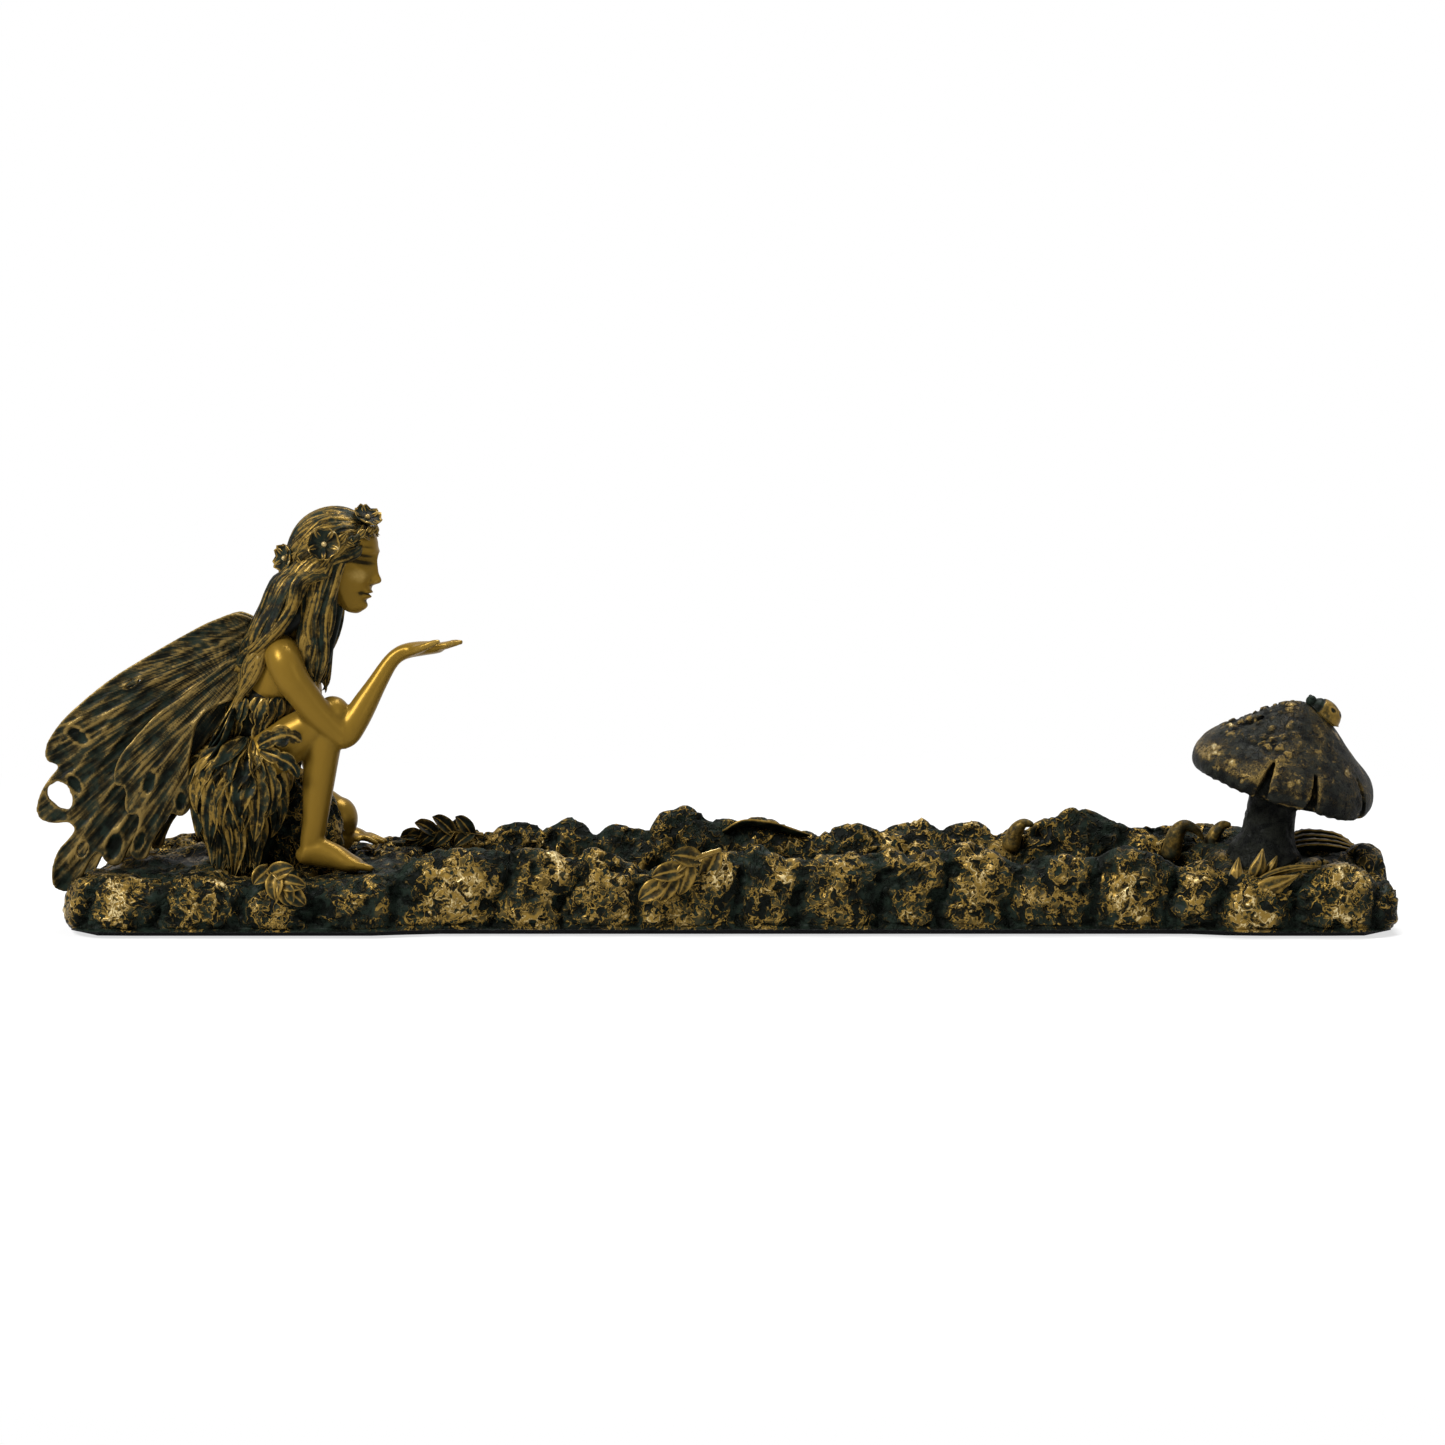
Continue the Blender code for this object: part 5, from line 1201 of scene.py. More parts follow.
def wreath(rng):
    bm = bmesh.new()
    for place, facing, radius, spin in FLOWERS:
        blossom(bm, place, Vector(facing).normalized(), radius, spin)
    path = []
    for k in range(41):
        around = 2 * math.pi * k / 40
        direction = np.array((math.cos(around) * 0.97, math.sin(around), 0.24 + 0.52 * math.cos(around)))
        path.append(on_cap(direction[None, :], 0.9)[0])
    path = np.array(path)
    for strand in (0.0, math.pi):
        t = np.arange(41)
        twist = np.stack((np.zeros(41), 0.35 * np.sin(2.2 * t + strand), 0.5 * np.cos(2.2 * t + strand)),
                         axis=-1)
        line = path + twist
        tube(bm, line[:40] * MM, np.append(np.full(39, 0.5), 0.0) * MM, np.append(np.full(39, 0.5), 0.0) * MM,
             (0, 0, 1), 8, level=0.36)
    for k in range(34):
        i = int(k * 40 / 34)
        here = path[i]
        along = unit(path[(i + 1) % 40] - here)
        outward = unit(here - (CAP_CENTRE + FIGURE))
        lean = np.array((0, 0, 1.0)) * (1 if k % 2 else -1)
        tip = here + along * 2.2 + lean * rng.uniform(1.0, 2.0) + outward * rng.uniform(0.3, 0.9)
        rows = np.array([(*here, 0.3), (*(here * 0.6 + tip * 0.4 + outward * 0.4), 0.95), (*tip, 0.05)])
        leaf(bm, rows, np.cross(outward, tip - here), outward, 0, 0, 0.2, 0.4, 0.2, 0.0, 7, 4, 0.5)
    return mesh_of(closed_up(bm), "wreath")


# The wings, in their own plane

UPPER_WING = (
    (-4.0, 56.0), (-10.0, 58.8), (-14.6, 57.6), (-19.4, 55.4), (-29.4, 49.7), (-39.4, 43.4), (-48.4, 35.7),
    (-52.6, 30.2), (-53.4, 27.0), (-52.8, 25.2), (-50.6, 24.2), (-52.4, 21.6), (-54.4, 18.4), (-55.5, 14.6),
    (-54.6, 12.0), (-51.6, 11.0), (-48.6, 11.2), (-47.2, 9.6), (-48.6, 7.4), (-51.0, 4.6), (-52.3, 0.4),
    (-52.1, -3.2), (-50.0, -4.7), (-47.4, -4.2), (-45.6, -1.4), (-43.6, 2.6), (-42.0, 4.0), (-40.6, 2.2),
    (-38.8, 0.8), (-36.6, 1.8), (-35.4, 4.6), (-33.0, 8.0), (-26.0, 13.0), (-17.0, 30.0), (-4.0, 44.0),
)
# The far wing ends before the near one's round hole, which is clear in the photo
SHORT_LOBE = ((-49.2, 21.8), (-47.8, 18.6), (-47.2, 15.2), (-47.2, 12.6))
UPPER_HOLES = (((-50.2, 17.5), 2.4, 3.4, 32.0), ((-33.6, 43.0), 2.2, 0.6, 32.0),
               ((-45.4, 4.9), 1.1, 1.9, -20.0))
LOWER_WING = (
    (-4.0, 49.0), (-11.0, 48.4), (-16.0, 45.0), (-22.0, 40.2), (-27.4, 36.4), (-31.6, 32.0), (-35.8, 26.8),
    (-37.3, 22.6), (-36.8, 20.0), (-35.4, 20.0), (-34.8, 18.0), (-35.2, 15.6), (-34.4, 13.4), (-32.8, 13.2),
    (-32.0, 14.0), (-32.4, 10.4), (-33.8, 6.6), (-34.0, 4.0), (-32.4, 2.6), (-30.4, 3.2), (-29.6, 5.6),
    (-28.2, 8.6), (-26.2, 11.4), (-25.0, 13.2), (-23.0, 12.4), (-21.2, 13.8), (-20.7, 16.4), (-20.9, 21.0),
    (-20.2, 28.6), (-17.0, 36.4), (-4.0, 42.0),
)
UPPER_VEINS = (
    ((-8.0, 56.6), (-22.0, 50.4), (-38.0, 41.0), (-47.6, 33.4), (-52.6, 26.4)),
    ((-8.0, 54.6), (-20.0, 48.6), (-30.0, 42.6), (-37.4, 36.0), (-44.0, 27.0), (-47.4, 22.0)),
    ((-8.0, 53.0), (-22.0, 44.6), (-34.0, 34.0), (-42.0, 23.6), (-48.6, 12.6)),
    ((-8.0, 51.0), (-22.0, 40.4), (-34.0, 26.4), (-42.0, 14.0), (-48.6, 2.0)),
    ((-8.0, 50.0), (-20.0, 36.0), (-30.0, 22.0), (-38.0, 8.0)),
    ((-30.0, 42.6), (-40.0, 35.4), (-49.6, 29.4)), ((-34.0, 34.0), (-43.0, 28.4), (-50.0, 24.4)),
)
LOWER_VEINS = (
    ((-8.0, 48.2), (-21.0, 39.8), (-30.0, 32.2), (-36.2, 22.2)),
    ((-8.0, 47.0), (-19.0, 37.6), (-28.0, 29.0), (-33.6, 20.6)),
    ((-8.0, 46.0), (-18.6, 35.0), (-25.8, 25.6), (-30.4, 16.0), (-32.6, 6.4)),
    ((-8.0, 45.0), (-17.4, 33.4), (-21.6, 25.0), (-24.6, 18.8), (-28.6, 10.0)),
    ((-8.0, 44.4), (-16.6, 33.0), (-19.6, 25.0), (-21.2, 16.0)),
    ((-18.6, 35.0), (-26.0, 30.0), (-31.0, 25.0)), ((-25.8, 25.6), (-30.4, 21.4), (-33.8, 14.6)),
)
UPPER_DROPS = (((-46.9, 20.0), 1.3, 2.6, 30.0), ((-38.4, 5.6), 1.9, 3.6, -12.0),
               ((-46.0, 31.2), 1.6, 3.2, 52.0))
LOWER_DROPS = (((-29.6, 20.6), 1.5, 3.0, -14.0), ((-32.0, 7.2), 1.1, 2.6, -18.0),
               ((-22.9, 16.0), 1.1, 2.4, -6.0))


def near_lines(points, lines):
    """How far each point of a plane is from the nearest of some broken lines."""
    best = np.full(len(points), 1e9)
    for line in lines:
        for a, b in zip(line, line[1:]):
            a, b = np.array(a), np.array(b)
            way = b - a
            t = np.clip(((points - a) @ way) / (way @ way), 0, 1)
            best = np.minimum(best, np.linalg.norm(points - a - t[:, None] * way, axis=1))
    return best


def oval_level(points, ovals):
    """Below 1 inside an oval, 1 on its edge."""
    best = np.full(len(points), 1e9)
    for (x, z), wide, tall, tilt in ovals:
        c, s = math.cos(math.radians(tilt)), math.sin(math.radians(tilt))
        d = points - (x, z)
        best = np.minimum(best, np.hypot((d[:, 0] * c + d[:, 1] * s) / wide,
                                         (-d[:, 0] * s + d[:, 1] * c) / tall))
    return best


def wing_blank(outline, holes, thick):
    """A flat plate with its holes, standing in the plane of the wing."""
    curve = bpy.data.curves.new("wing", "CURVE")
    curve.dimensions = "2D"
    curve.fill_mode = "BOTH"
    curve.extrude = thick / 2 * MM
    loops = [curve_through((*outline, outline[0]), 4)[:-1]]
    for (x, z), wide, tall, tilt in holes:
        a = np.linspace(0, 2 * math.pi, 25)[:-1]
        c, s = math.cos(math.radians(tilt)), math.sin(math.radians(tilt))
        wobble = 1 + 0.07 * np.sin(3 * a + x) + 0.05 * np.sin(7 * a)
        u, w = wide * np.cos(a) * wobble, tall * np.sin(a) * wobble
        loops.append(np.stack((x + u * c - w * s, z + u * s + w * c), axis=-1))
    for loop in loops:
        spline = curve.splines.new("POLY")
        spline.points.add(len(loop) - 1)
        spline.use_cyclic_u = True
        for point, (x, z) in zip(spline.points, loop):
            point.co = (x * MM, z * MM, 0.0, 1.0)
    holder = bpy.data.objects.new("wing", curve)
    SCENE.collection.objects.link(holder)
    bm = bmesh.new()
    bm.from_mesh(bpy.data.meshes.new_from_object(holder.evaluated_get(bpy.context.evaluated_depsgraph_get())))
    bpy.data.objects.remove(holder, do_unlink=True)
    bmesh.ops.rotate(bm, matrix=Matrix.Rotation(math.radians(90), 3, "X"), verts=bm.verts)
    return bm


def wing(outline, holes, veins, drops, splay, salt):
    """One wing as points and faces in its own plane, carved on both sides, with its relief."""
    mesh = one_skin(wing_blank(outline, holes, 1.1), 0.42, 3, "wing")
    points = points_of(mesh) / MM
    normal = normals_of(mesh)
    flat = points[:, [0, 2]]
    rim_lines = [curve_through((*outline, outline[0]), 4)]
    rim = near_lines(flat, rim_lines)
    if holes:
        rim = np.minimum(rim, np.abs(oval_level(flat, holes) - 1) * 2.4)
    vein = near_lines(flat, veins)
    drop = oval_level(flat, drops)
    root = np.array((-2.0, 54.0))
    from_root = flat - root
    angle = np.degrees(np.arctan2(from_root[:, 1], from_root[:, 0]))
    reach = np.linalg.norm(from_root, axis=1)
    wobble = bumps(np.stack((flat[:, 0], flat[:, 1], np.full(len(flat), 3.0 * salt)), axis=-1), 5.0, salt)
    lines = np.sin(angle * 3.4 + 0.5 * wobble) * 0.6 + np.sin(angle * 1.5 + 0.6 * wobble) * 0.5
    edge = np.exp(-((rim / 0.8) ** 2))
    spine = np.exp(-((vein / 0.55) ** 2))
    oval = np.exp(-(((drop - 1.0) * 2.2 / 0.9) ** 2))
    inside = ease(drop, 1.0, 0.6)
    carved = 0.62 * edge + 0.62 * spine + 0.5 * oval - 0.45 * inside
    carved = carved + 0.24 * lines * (1 - edge) * (1 - spine) * (1 - inside) * ease(reach, 2, 12)
    facing = np.sign(normal[:, 1]) * ease(np.abs(normal[:, 1]), 0.25, 0.8)
    points[:, 1] += facing * (carved * 0.85 - 0.12)
    thin = np.exp(-((rim / 0.5) ** 2)) + 0.7 * np.exp(-((vein / 0.34) ** 2))
    thin = thin + 0.8 * np.exp(-(((drop - 1.0) * 2.2 / 0.5) ** 2))
    relief = 0.38 + 0.34 * np.clip(thin, 0, 1) - 0.3 * inside + 0.14 * lines * (1 - edge) + 0.12 * wobble
    bend = 1.1 * np.sin(reach / 14.0) + 0.5 * wobble * ease(reach, 6, 20)
    points[:, 1] += bend
    points[:, 1] += (-6.0 - points[:, 0]) * math.tan(math.radians(splay)) + 2.5
    move_to(mesh, points * MM)
    set_relief(mesh, np.clip(relief, 0, 1))
    set_grain(mesh, np.stack((angle * 1.1, reach / 9.0, np.full(len(flat), 5.0 * salt)), axis=-1))
    return mesh


def wing_pair(outline, holes):
    """The upper and the lower wing of the far side, joined."""
    bm = bmesh.new()
    for mesh in (
        wing(outline, holes, UPPER_VEINS, UPPER_DROPS, 11.0, 3),
        wing(LOWER_WING, (), LOWER_VEINS, LOWER_DROPS, 20.0, 8),
    ):
        bm.from_mesh(mesh)
    bmesh.ops.translate(bm, vec=Vector(FIGURE) * MM, verts=bm.verts)
    return bm


def wings():
    far = wing_pair(UPPER_WING[:11] + SHORT_LOBE + UPPER_WING[16:], UPPER_HOLES[1:])
    near = wing_pair(UPPER_WING, UPPER_HOLES)
    bmesh.ops.scale(near, vec=(1, -1, 1), verts=near.verts)
    for bm in (near, far):
        bmesh.ops.recalc_face_normals(bm, faces=bm.faces)
    return mesh_of(near, "near_wings"), mesh_of(far, "far_wings")


# The mushroom

MUSHROOM = np.array((127.5, 0.0, 16.5))
CAP_MIDDLE = Vector((130.9, 0.0, 34.5))
CAP_TURN = Matrix.Rotation(math.radians(9.0), 4, "X") @ Matrix.Rotation(math.radians(15.5), 4, "Y")
CAP_PROFILE = (
    (0.0, 17.8), (2.0, 17.6), (4.6, 16.4), (8.5, 13.6), (12.6, 10.2), (16.4, 7.0), (19.4, 4.2), (21.0, 1.6),
    (21.4, 0.0), (21.3, -1.6), (20.4, -2.7), (18.6, -2.9), (17.0, -2.9), (12.0, -4.0), (8.0, -5.2),
    (5.0, -6.2), (0.0, -6.4),
)
CAP_FRAME = Matrix.Translation(CAP_MIDDLE * MM) @ CAP_TURN
# Splits in the rim of the cap: the angle round the cap, the width, and how much further in each one reaches
SPLITS = ((-112.0, 4.0, 0.0), (-80.0, 3.6, 0.0), (-34.0, 2.6, 3.0), (95.0, 2.4, 0.0), (150.0, 2.0, 0.0))
# The stick hole: its mouth from the middle of the cap, and how far along it from there its middle lies
HOLE_MOUTH = (-11.1, -2.1, 11.0)
HOLE_MIDDLE = 4.2
HOLE_LENGTH = 18.0
HOLE_RADIUS = 1.35
HOLE_FALL_DEG = 7.0
LADYBIRD_SEAT = (4.3, 0.0, 15.6)
LADYBIRD_TILT_DEG = 23.0


def mushroom():
    bm = bmesh.new()
    profile = curve_through(CAP_PROFILE, 4)
    around = np.linspace(0, 2 * math.pi, 181)
    points = np.stack((
        profile[:, :1] * np.cos(around), profile[:, :1] * np.sin(around),
        np.broadcast_to(profile[:, 1:], (len(profile), 181)),
    ), axis=-1)
    under = (np.arange(len(profile)) / len(profile) > 0.64)[:, None]
    reach = profile[:, :1]
    gill = 0.45 * np.cos(around * 44) * ease(reach, 6.0, 9.0) * (1 - ease(reach, 19.6, 20.6)) * under
    uneven = 0.55 * np.sin(3 * around + 0.6) + 0.35 * np.sin(5 * around + 2.0)
    lip = ease(reach, 14, 21)
    points[..., 2] += gill + 0.8 * uneven * lip
    points[..., :2] *= (1 + 0.012 * uneven * lip)[..., None]
    grow = np.array(CAP_FRAME.to_3x3())
    sheet_of(bm, closed_form(points @ grow.T + np.array(CAP_MIDDLE)) * MM)
    rows = ((-0.8, 0, -3.0, 8.6, 8.8), (-0.6, 0, 0.5, 7.9, 8.2), (-0.2, 0, 3.2, 6.5, 6.7),
            (0.4, 0, 7.0, 5.7, 5.9), (1.2, 0, 12.0, 5.9, 6.0), (2.6, 0, 16.4, 7.2, 7.0))
    form(bm, rows, 5, 36, origin=MUSHROOM)
    plain = bpy.data.objects.new("plain", mesh_of(closed_up(bm), "plain"))
    SCENE.collection.objects.link(plain)
    tools = []
    for turn_deg, wide, inward in SPLITS:
        cut = bmesh.new()
        bmesh.ops.create_cube(cut, size=1.0)
        bmesh.ops.scale(cut, vec=((10.0 + inward) * MM, wide * MM, 0.012), verts=cut.verts)
        for vert in cut.verts:
            if vert.co.z > 0:
                vert.co.y *= 0.06
        bmesh.ops.translate(cut, vec=(0.0186 - inward / 2 * MM, 0.0, 0.0014 + inward * 0.4 * MM),
                            verts=cut.verts)
        bmesh.ops.transform(cut, matrix=CAP_FRAME @ Matrix.Rotation(math.radians(turn_deg), 4, "Z"),
                            verts=cut.verts)
        tools.append(cut)
    fall = math.radians(HOLE_FALL_DEG)
    along = Vector((math.cos(fall), 0.0, -math.sin(fall)))
    middle = CAP_FRAME @ (Vector(HOLE_MOUTH) * MM) + along * HOLE_MIDDLE * MM
    hole = bmesh.new()
    bmesh.ops.create_cone(
        hole, segments=32, cap_ends=True, radius1=HOLE_RADIUS * MM, radius2=HOLE_RADIUS * MM,
        depth=HOLE_LENGTH * MM,
        matrix=Matrix.Translation(middle) @ along.to_track_quat("Z", "Y").to_matrix().to_4x4(),
    )
    tools.append(hole)
    for cut in tools:
        tool = bpy.data.objects.new("tool", mesh_of(closed_up(cut), "tool"))
        SCENE.collection.objects.link(tool)
        carve = plain.modifiers.new("carve", "BOOLEAN")
        carve.object = tool
        carve.solver = "EXACT"
    made = bpy.data.meshes.new_from_object(plain.evaluated_get(bpy.context.evaluated_depsgraph_get()))
    for item in [o for o in SCENE.objects if o.name.startswith("tool")] + [plain]:
        bpy.data.objects.remove(item, do_unlink=True)
    bm = bmesh.new()
    bm.from_mesh(made)
    mesh = one_skin(bm, 0.42, 2, "mushroom")
    points = points_of(mesh) / MM
    normal = normals_of(mesh)
    local = (points - np.array(CAP_MIDDLE)) @ grow
    top = ease(local[:, 2], -1.0, 1.0)
    crust = ease(-local[:, 0], -2.0, 8.0) * ease(local[:, 2], 4.0, 9.0) * top
    _, edge, who = pebbles(points, 2.2, 5)
    scales = ease(edge, 0.05, 0.35) * ease(who, 0.35, 0.6)
    rugged = rough(points, 3.0, 3, 9)
    on_stem = 1 - ease(local[:, 2], -6.5, -4.5)
    lift = 0.22 * rough(points, 6.0, 3, 2) + 0.7 * crust * scales + 0.5 * on_stem * rugged + 0.08 * rugged
    points = points + normal * lift[:, None]
    move_to(mesh, points * MM)
    patch = rough(points, 7.0, 3, 21)
    rim_light = ease(np.hypot(local[:, 0], local[:, 1]), 18.5, 21.0) * top * ease(-local[:, 0], -6.0, 12.0)
    flecks = ease(rough(points, 1.5, 3, 33), 0.22, 0.55) * ease(rough(points, 8.0, 2, 37), -0.4, 0.25)
    ridge = highness(mesh, 14, 0.3)
    relief = 0.30 + 0.16 * patch + 0.12 * rugged + 0.5 * (ridge - 0.5) + 0.7 * flecks + 0.16 * rim_light
    relief = relief - 0.2 * (1 - top) - 0.1 * on_stem
    set_relief(mesh, np.clip(relief, 0, 1))
    return mesh


def ladybird():
    bm = bmesh.new()
    seat = CAP_FRAME @ (Vector(LADYBIRD_SEAT) * MM)
    frame_of = Matrix.Translation(seat) @ CAP_TURN @ Matrix.Rotation(math.radians(LADYBIRD_TILT_DEG), 4, "Y")
    x, y, z = round_grid(60, 97)
    seam = np.exp(-((y / 0.07) ** 2)) * (z > 0) * (x > -0.55)
    collar = np.exp(-(((x + 0.55) / 0.06) ** 2)) * (z > -0.2)
    spot = np.minimum(np.sqrt((x - 0.1) ** 2 + (np.abs(y) - 0.75) ** 2 + (z - 0.65) ** 2),
                      np.sqrt((x - 0.62) ** 2 + (np.abs(y) - 0.38) ** 2 + (z - 0.68) ** 2))
    ring = np.exp(-(((spot - 0.22) / 0.06) ** 2)) * (z > 0)
    skirt = np.exp(-(((z + 0.12) / 0.12) ** 2))
    r = 1 - 0.05 * seam - 0.05 * collar + 0.035 * ring + 0.09 * skirt
    local = np.stack((x * 4.2 * r, y * 3.4 * r, z * np.where(z > 0, 3.3, 1.6) * r + 1.0), axis=-1)
    relief = 0.54 - 0.45 * seam - 0.45 * collar + 0.25 * ring
    relief = relief - 0.3 * (spot < 0.17) * (z > 0) - 0.4 * (x < -0.55)
    points = closed_form(local @ np.array(frame_of.to_3x3()).T + np.array(frame_of.translation) / MM)
    sheet_of(bm, points * MM, np.clip(relief, 0, 1))
    head_place = frame_of @ Vector((-4.3 * MM, 0, 1.5 * MM))
    ball(bm, np.array(head_place) / MM, (1.25, 1.45, 1.3), frame_of.to_3x3().to_4x4())
    for direction in (-1, 1):
        eye = frame_of @ Vector((-4.9 * MM, 0.95 * direction * MM, 2.1 * MM))
        ball(bm, np.array(eye) / MM, (0.45, 0.45, 0.45), detail=3)
    return mesh_of(closed_up(bm), "ladybird")


# Leaves on the rock, as x, y, z and half width in mm


def rock_leaves():
    bm = bmesh.new()
    # the lobed leaf over the near rim
    lobed_leaf(bm, ((1.2, -19.4, 19.2), (-4.6, -22.8, 17.8), (-10.0, -24.0, 14.0), (-14.4, -24.4, 10.6)),
               (0.35, 0, 1.0), (0, -1, 0.25), (
        (0.12, -64, 8.0), (0.34, 38, 7.0), (0.46, -44, 7.6), (0.58, 30, 7.0), (0.68, -28, 6.6),
        (0.86, 6, 6.4),
    ), 2.3, 0.46)
    # the lobed leaf by the figure, hanging over the near wall
    lobed_leaf(bm, ((-101.6, -21.4, 15.2), (-99.8, -24.8, 14.4), (-97.4, -25.7, 12.2), (-95.6, -25.8, 10.4)),
               (1.0, 0, 0.6), (0, -1, 0.2), (
        (0.08, -80, 5.4), (0.3, 58, 6.0), (0.42, -50, 5.6), (0.6, 42, 6.0), (0.72, -30, 5.0), (0.9, 4, 5.0),
    ), 2.0, 0.46)
    # curled leaves at the mushroom's foot
    for rows, side in (
        (((119.0, -21.0, 9.6, 0.4), (121.6, -23.8, 10.6, 1.8), (126.0, -24.2, 12.0, 2.2),
          (131.2, -22.6, 14.2, 0.1)), (-0.4, 0, 1.0)),
        (((119.0, -21.0, 9.8, 0.4), (122.4, -24.2, 8.6, 1.5), (126.0, -24.2, 8.2, 1.7),
          (129.6, -23.4, 10.8, 0.1)), (-0.2, 0, 1.0)),
        (((119.0, -19.0, 10.0, 0.4), (117.6, -20.6, 12.4, 1.6), (117.4, -20.6, 14.6, 1.5),
          (118.0, -19.6, 18.0, 0.1)), (1.0, 0, 0.2)),
        (((121.0, -18.6, 11.0, 0.4), (121.8, -20.0, 14.0, 1.7), (122.8, -19.8, 16.4, 1.6),
          (123.6, -18.6, 19.8, 0.1)), (1.0, 0, -0.3)),
        (((122.4, -18.0, 12.0, 0.4), (124.6, -18.6, 14.0, 1.2), (126.0, -18.4, 16.0, 1.0),
          (127.0, -17.6, 18.0, 0.1)), (1.0, 0, -0.5)),
        (((120.0, -20.6, 11.0, 0.4), (125.0, -21.0, 14.0, 0.8), (131.0, -20.4, 15.4, 0.8),
          (137.0, -19.4, 15.6, 0.1)), (-0.3, 0, 1.0)),
    ):
        leaf(bm, rows, side, (0, -1, 0.3), 0, 0, -0.6, 1.0, 0.3, 0.0, 11, 8, 0.55)
    form(bm, ((119.2, -21.6, 10.0, 0.7, 0.7), (117.0, -22.6, 8.4, 0.65, 0.65), (116.8, -23.0, 5.6, 0.6, 0.6),
              (119.0, -23.2, 3.4, 0.4, 0.4)),
         6, 12, origin=np.zeros(3), level=0.7)
    # the toothed leaf, the bark, the horn-shaped shoots and the twigs on the far rim
    lobed_leaf(bm, ((-55.0, 14.4, 18.6), (-61.0, 12.8, 19.6), (-67.0, 12.4, 19.4), (-72.0, 12.8, 18.4)),
               (0, 0.3, 1.0), (0, -0.8, 0.5), (
        (0.2, 48, 6.0), (0.2, -48, 5.5), (0.42, 46, 6.5), (0.45, -44, 5.5), (0.64, 40, 6.0), (0.68, -36, 5.0),
        (0.88, 12, 5.0), (0.84, -18, 4.5),
    ), 1.7, 0.38)
    leaf(bm, ((1.0, 15.0, 19.6, 1.0), (6.0, 14.6, 22.2, 2.4), (13.0, 14.6, 21.6, 2.8),
              (22.0, 14.8, 18.8, 0.8)),
         (0, 1.0, -0.2), (0, -0.5, 1.0), 2, 0.25, 0.2, 1.6, 0.3, 0.1, 13, 8, 0.36)
    for rows in (
        ((106.8, 12.0, 15.0, 2.6, 2.4), (107.8, 11.6, 19.4, 2.1, 2.0), (109.8, 11.2, 21.5, 1.7, 1.5),
         (112.4, 10.8, 20.6, 1.2, 1.0), (114.0, 10.6, 18.6, 0.6, 0.5)),
        ((115.4, 12.8, 15.0, 2.0, 2.0), (117.0, 12.6, 19.2, 1.7, 1.6), (118.8, 12.4, 21.4, 1.4, 1.2),
         (120.4, 12.2, 21.6, 0.8, 0.7)),
        ((69.2, 14.2, 16.5, 2.4, 2.2), (70.4, 14.0, 20.0, 1.9, 1.8), (72.2, 13.6, 21.8, 1.5, 1.2),
         (74.0, 13.4, 21.6, 0.8, 0.7)),
    ):
        form(bm, rows, 6, 20, origin=np.zeros(3), level=0.44)
    for k in range(4):
        y = 5.0 + 3.4 * k
        z = 16.6 + 0.7 * k
        leaf(bm, ((133.0 + k, y, z + 0.6, 0.8), (139.0, y - 0.6, z + 1.5, 1.9),
                  (146.0, y + 0.3, z + 0.6, 1.9), (153.0 - k, y, z - 1.8, 0.6)),
             (0, 1.0, -0.3), (0, 0, 1.0), 0, 0, -0.4, 1.8, 0.1, 0.1, 11, 8, 0.42, 3)
    return mesh_of(closed_up(bm), "rock_leaves")


# The studio, in metres

# Each lamp is its place, its size and its power
LAMPS = (
    ("key_light", (-0.65, -0.55, 0.75), 0.35, 17.0), ("fill_light", (0.75, -0.8, 0.35), 0.5, 1.2),
    ("top_light", (0.15, 0.2, 0.95), 0.4, 12.0),
)
LAMP_AIM = Vector((0, 0, 0.04))
CAMERA_AIM = Vector((0.00115, 0.0, 0.0468))
CAMERA_RISE_DEG = 4.7
CAMERA_AWAY = 0.789
CAMERA_LENS = 85.0


def studio():
    bm = bmesh.new()
    bmesh.ops.create_grid(bm, x_segments=1, y_segments=1, size=6.0)
    floor = bpy.data.objects.new("floor", mesh_of(bm, "floor"))
    SCENE.collection.objects.link(floor)
    white, tree, inputs = new_finish("studio_floor")
    inputs["Base Color"].default_value = (0.86, 0.86, 0.86, 1.0)
    inputs["Roughness"].default_value = 0.9
    inputs["Specular IOR Level"].default_value = 0.0
    glow = node(tree, "ShaderNodeEmission")
    glow.inputs["Strength"].default_value = 1.0
    mix = node(tree, "ShaderNodeMixShader")
    spot = node(tree, "ShaderNodeVectorMath", operation="LENGTH")
    tree.links.new(node(tree, "ShaderNodeTexCoord").outputs["Object"], spot.inputs[0])
    fade = step_between(tree, spot.outputs["Value"], 0.17, 0.42, 0.7, 1.0)
    tree.links.new(sums(tree, "MULTIPLY", looked_at(tree), fade), mix.inputs[0])
    tree.links.new(tree.nodes["Principled BSDF"].outputs[0], mix.inputs[1])
    tree.links.new(glow.outputs[0], mix.inputs[2])
    tree.links.new(mix.outputs[0], tree.nodes["Material Output"].inputs["Surface"])
    floor.data.materials.append(white)
    world = bpy.data.worlds.new("studio")
    world.use_nodes = True
    SCENE.world = world
    tree = world.node_tree
    back = tree.nodes["Background"]
    tree.links.new(step_between(tree, looked_at(tree), 0.0, 1.0, 0.06, 1.0), back.inputs["Strength"])
    back.inputs["Color"].default_value = (1.0, 1.0, 1.0, 1.0)
    for name, place, size, power in LAMPS:
        lamp = bpy.data.lights.new(name, "AREA")
        lamp.shape = "SQUARE"
        lamp.size = size
        lamp.energy = power
        holder = bpy.data.objects.new(name, lamp)
        holder.location = place
        holder.rotation_euler = (LAMP_AIM - Vector(place)).to_track_quat("-Z", "Y").to_euler()
        SCENE.collection.objects.link(holder)


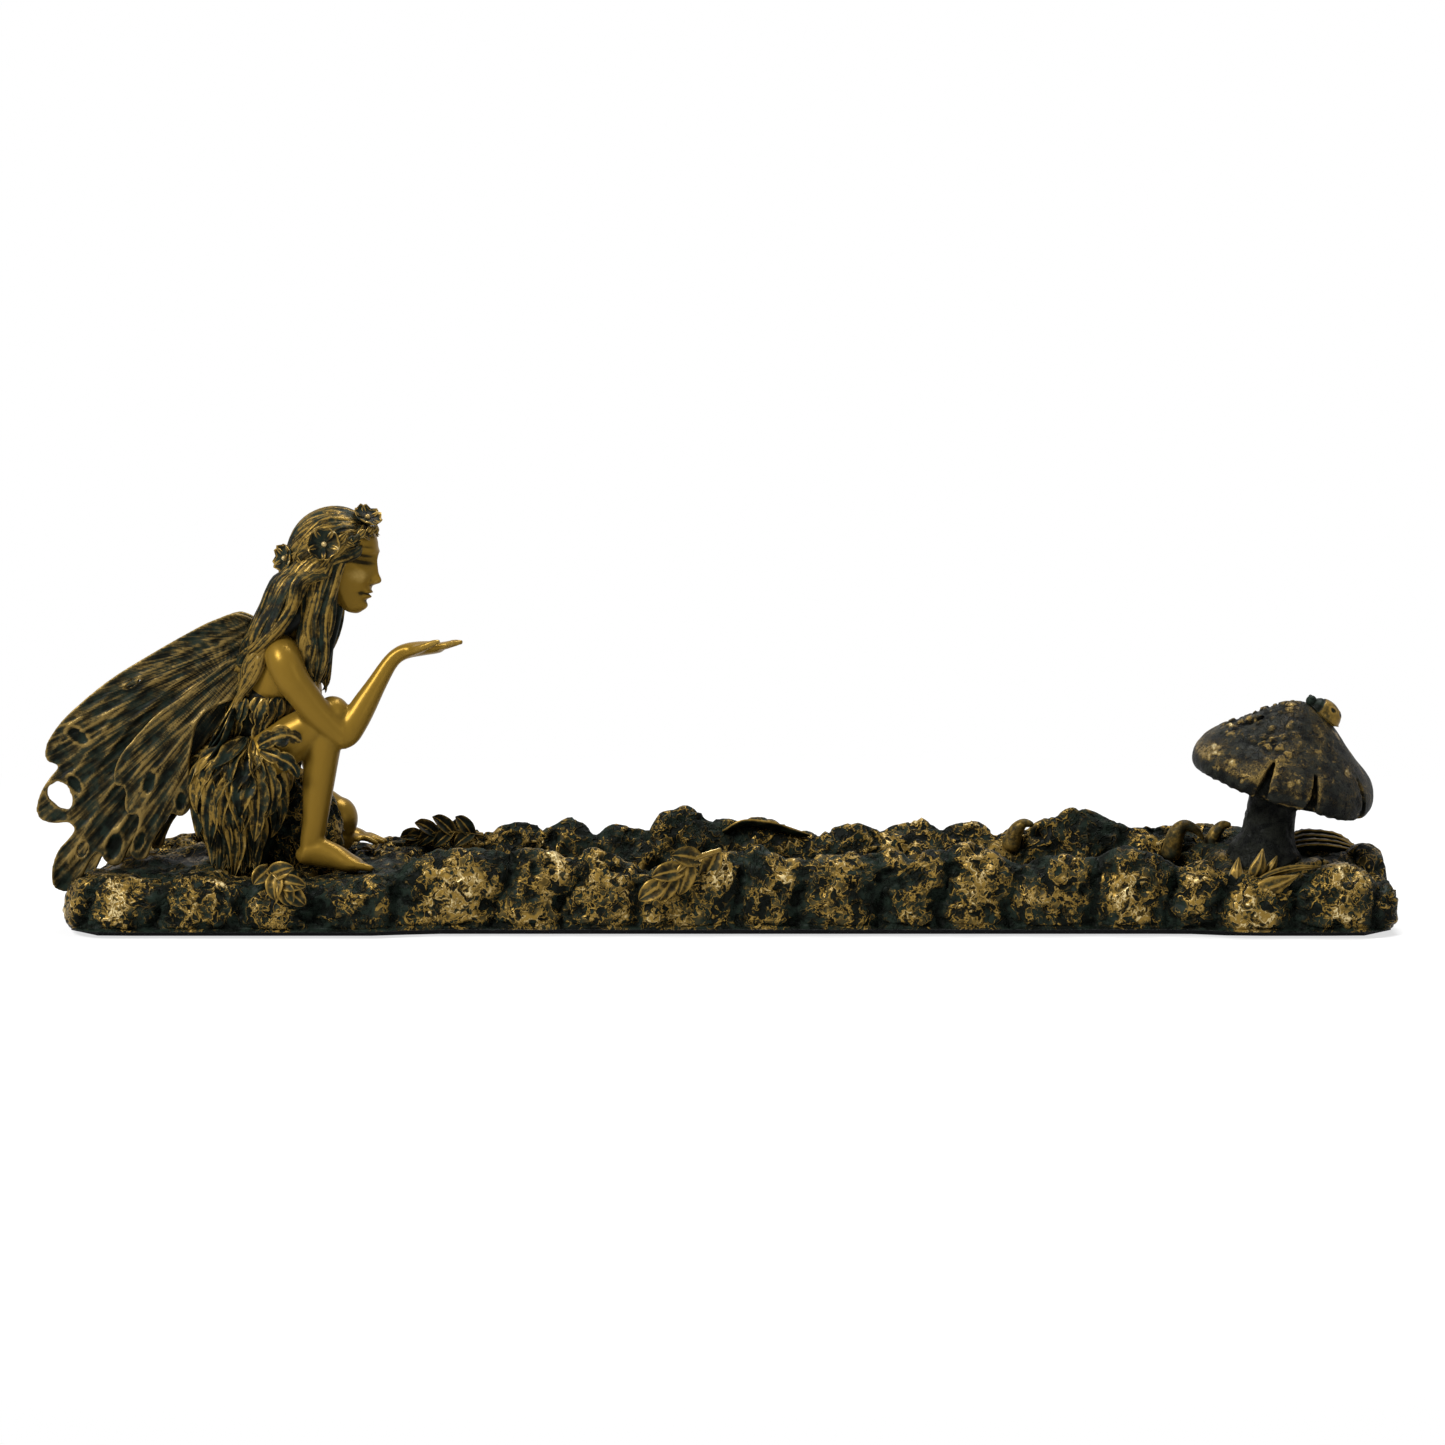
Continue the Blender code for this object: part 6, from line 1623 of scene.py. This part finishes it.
def camera():
    """The photograph's view: straight on to the near side and a little above it."""
    eye = bpy.data.cameras.new("camera")
    eye.sensor_width = 36.0
    eye.lens = CAMERA_LENS
    eye.clip_start = 0.05
    holder = bpy.data.objects.new("camera", eye)
    rise = math.radians(CAMERA_RISE_DEG)
    holder.location = CAMERA_AIM + Vector((0.0, -math.cos(rise), math.sin(rise))) * CAMERA_AWAY
    holder.rotation_euler = (CAMERA_AIM - holder.location).to_track_quat("-Z", "Y").to_euler()
    SCENE.collection.objects.link(holder)
    SCENE.camera = holder


def main():
    rng = np.random.default_rng(7)
    rock_finish = bronze("rock_patina", 0.60, 0.07, 0.10, pit_size=2.6, pit_share=0.36, bump=0.08)
    skin_finish = bronze("skin_bronze", 0.40, 0.2, 0.12, hollow=BROWN_HOLLOW, tint=BROWN_TINT, gold=SKIN_GOLD,
                         bright=SKIN_BRIGHT, bump=0.02)
    hair_finish = bronze("hair_patina", 0.58, 0.16, 0.55, bump=0.05, strands=1.1)
    cloth_finish = bronze("dress_patina", 0.60, 0.13, 0.6, bump=0.05, strands=1.0)
    wing_finish = bronze("wing_patina", 0.61, 0.15, 0.32, gold=PALE_GOLD, bright=WING_BRIGHT, bump=0.06,
                         strands=0.9)
    leaf_finish = bronze("leaf_patina", 0.54, 0.14, 0.42, bump=0.05)
    cap_finish = bronze("mushroom_patina", 0.56, 0.12, 0.36, hollow=CAP_HOLLOW, tint=CAP_TINT, gold=PALE_GOLD,
                        bright=CAP_BRIGHT, pit_size=1.3, pit_share=0.14, bump=0.1)
    piece("rock", rock(), rock_finish)
    piece("figure_skin", figure_skin(), skin_finish)
    piece("head", head(), skin_finish)
    piece("hair", hair(rng), hair_finish)
    piece("dress", dress(rng), cloth_finish)
    piece("wreath", wreath(rng), leaf_finish)
    near, far = wings()
    piece("near_wings", near, wing_finish)
    piece("far_wings", far, wing_finish)
    piece("mushroom", mushroom(), cap_finish)
    piece("ladybird", ladybird(), leaf_finish)
    piece("rock_leaves", rock_leaves(), leaf_finish)
    felt = frame["nodes"]["felt_pad"]
    felt.data.materials.clear()
    felt.data.materials.append(felt_finish())
    studio()
    camera()
    SCENE.view_settings.view_transform = "Standard"


main()
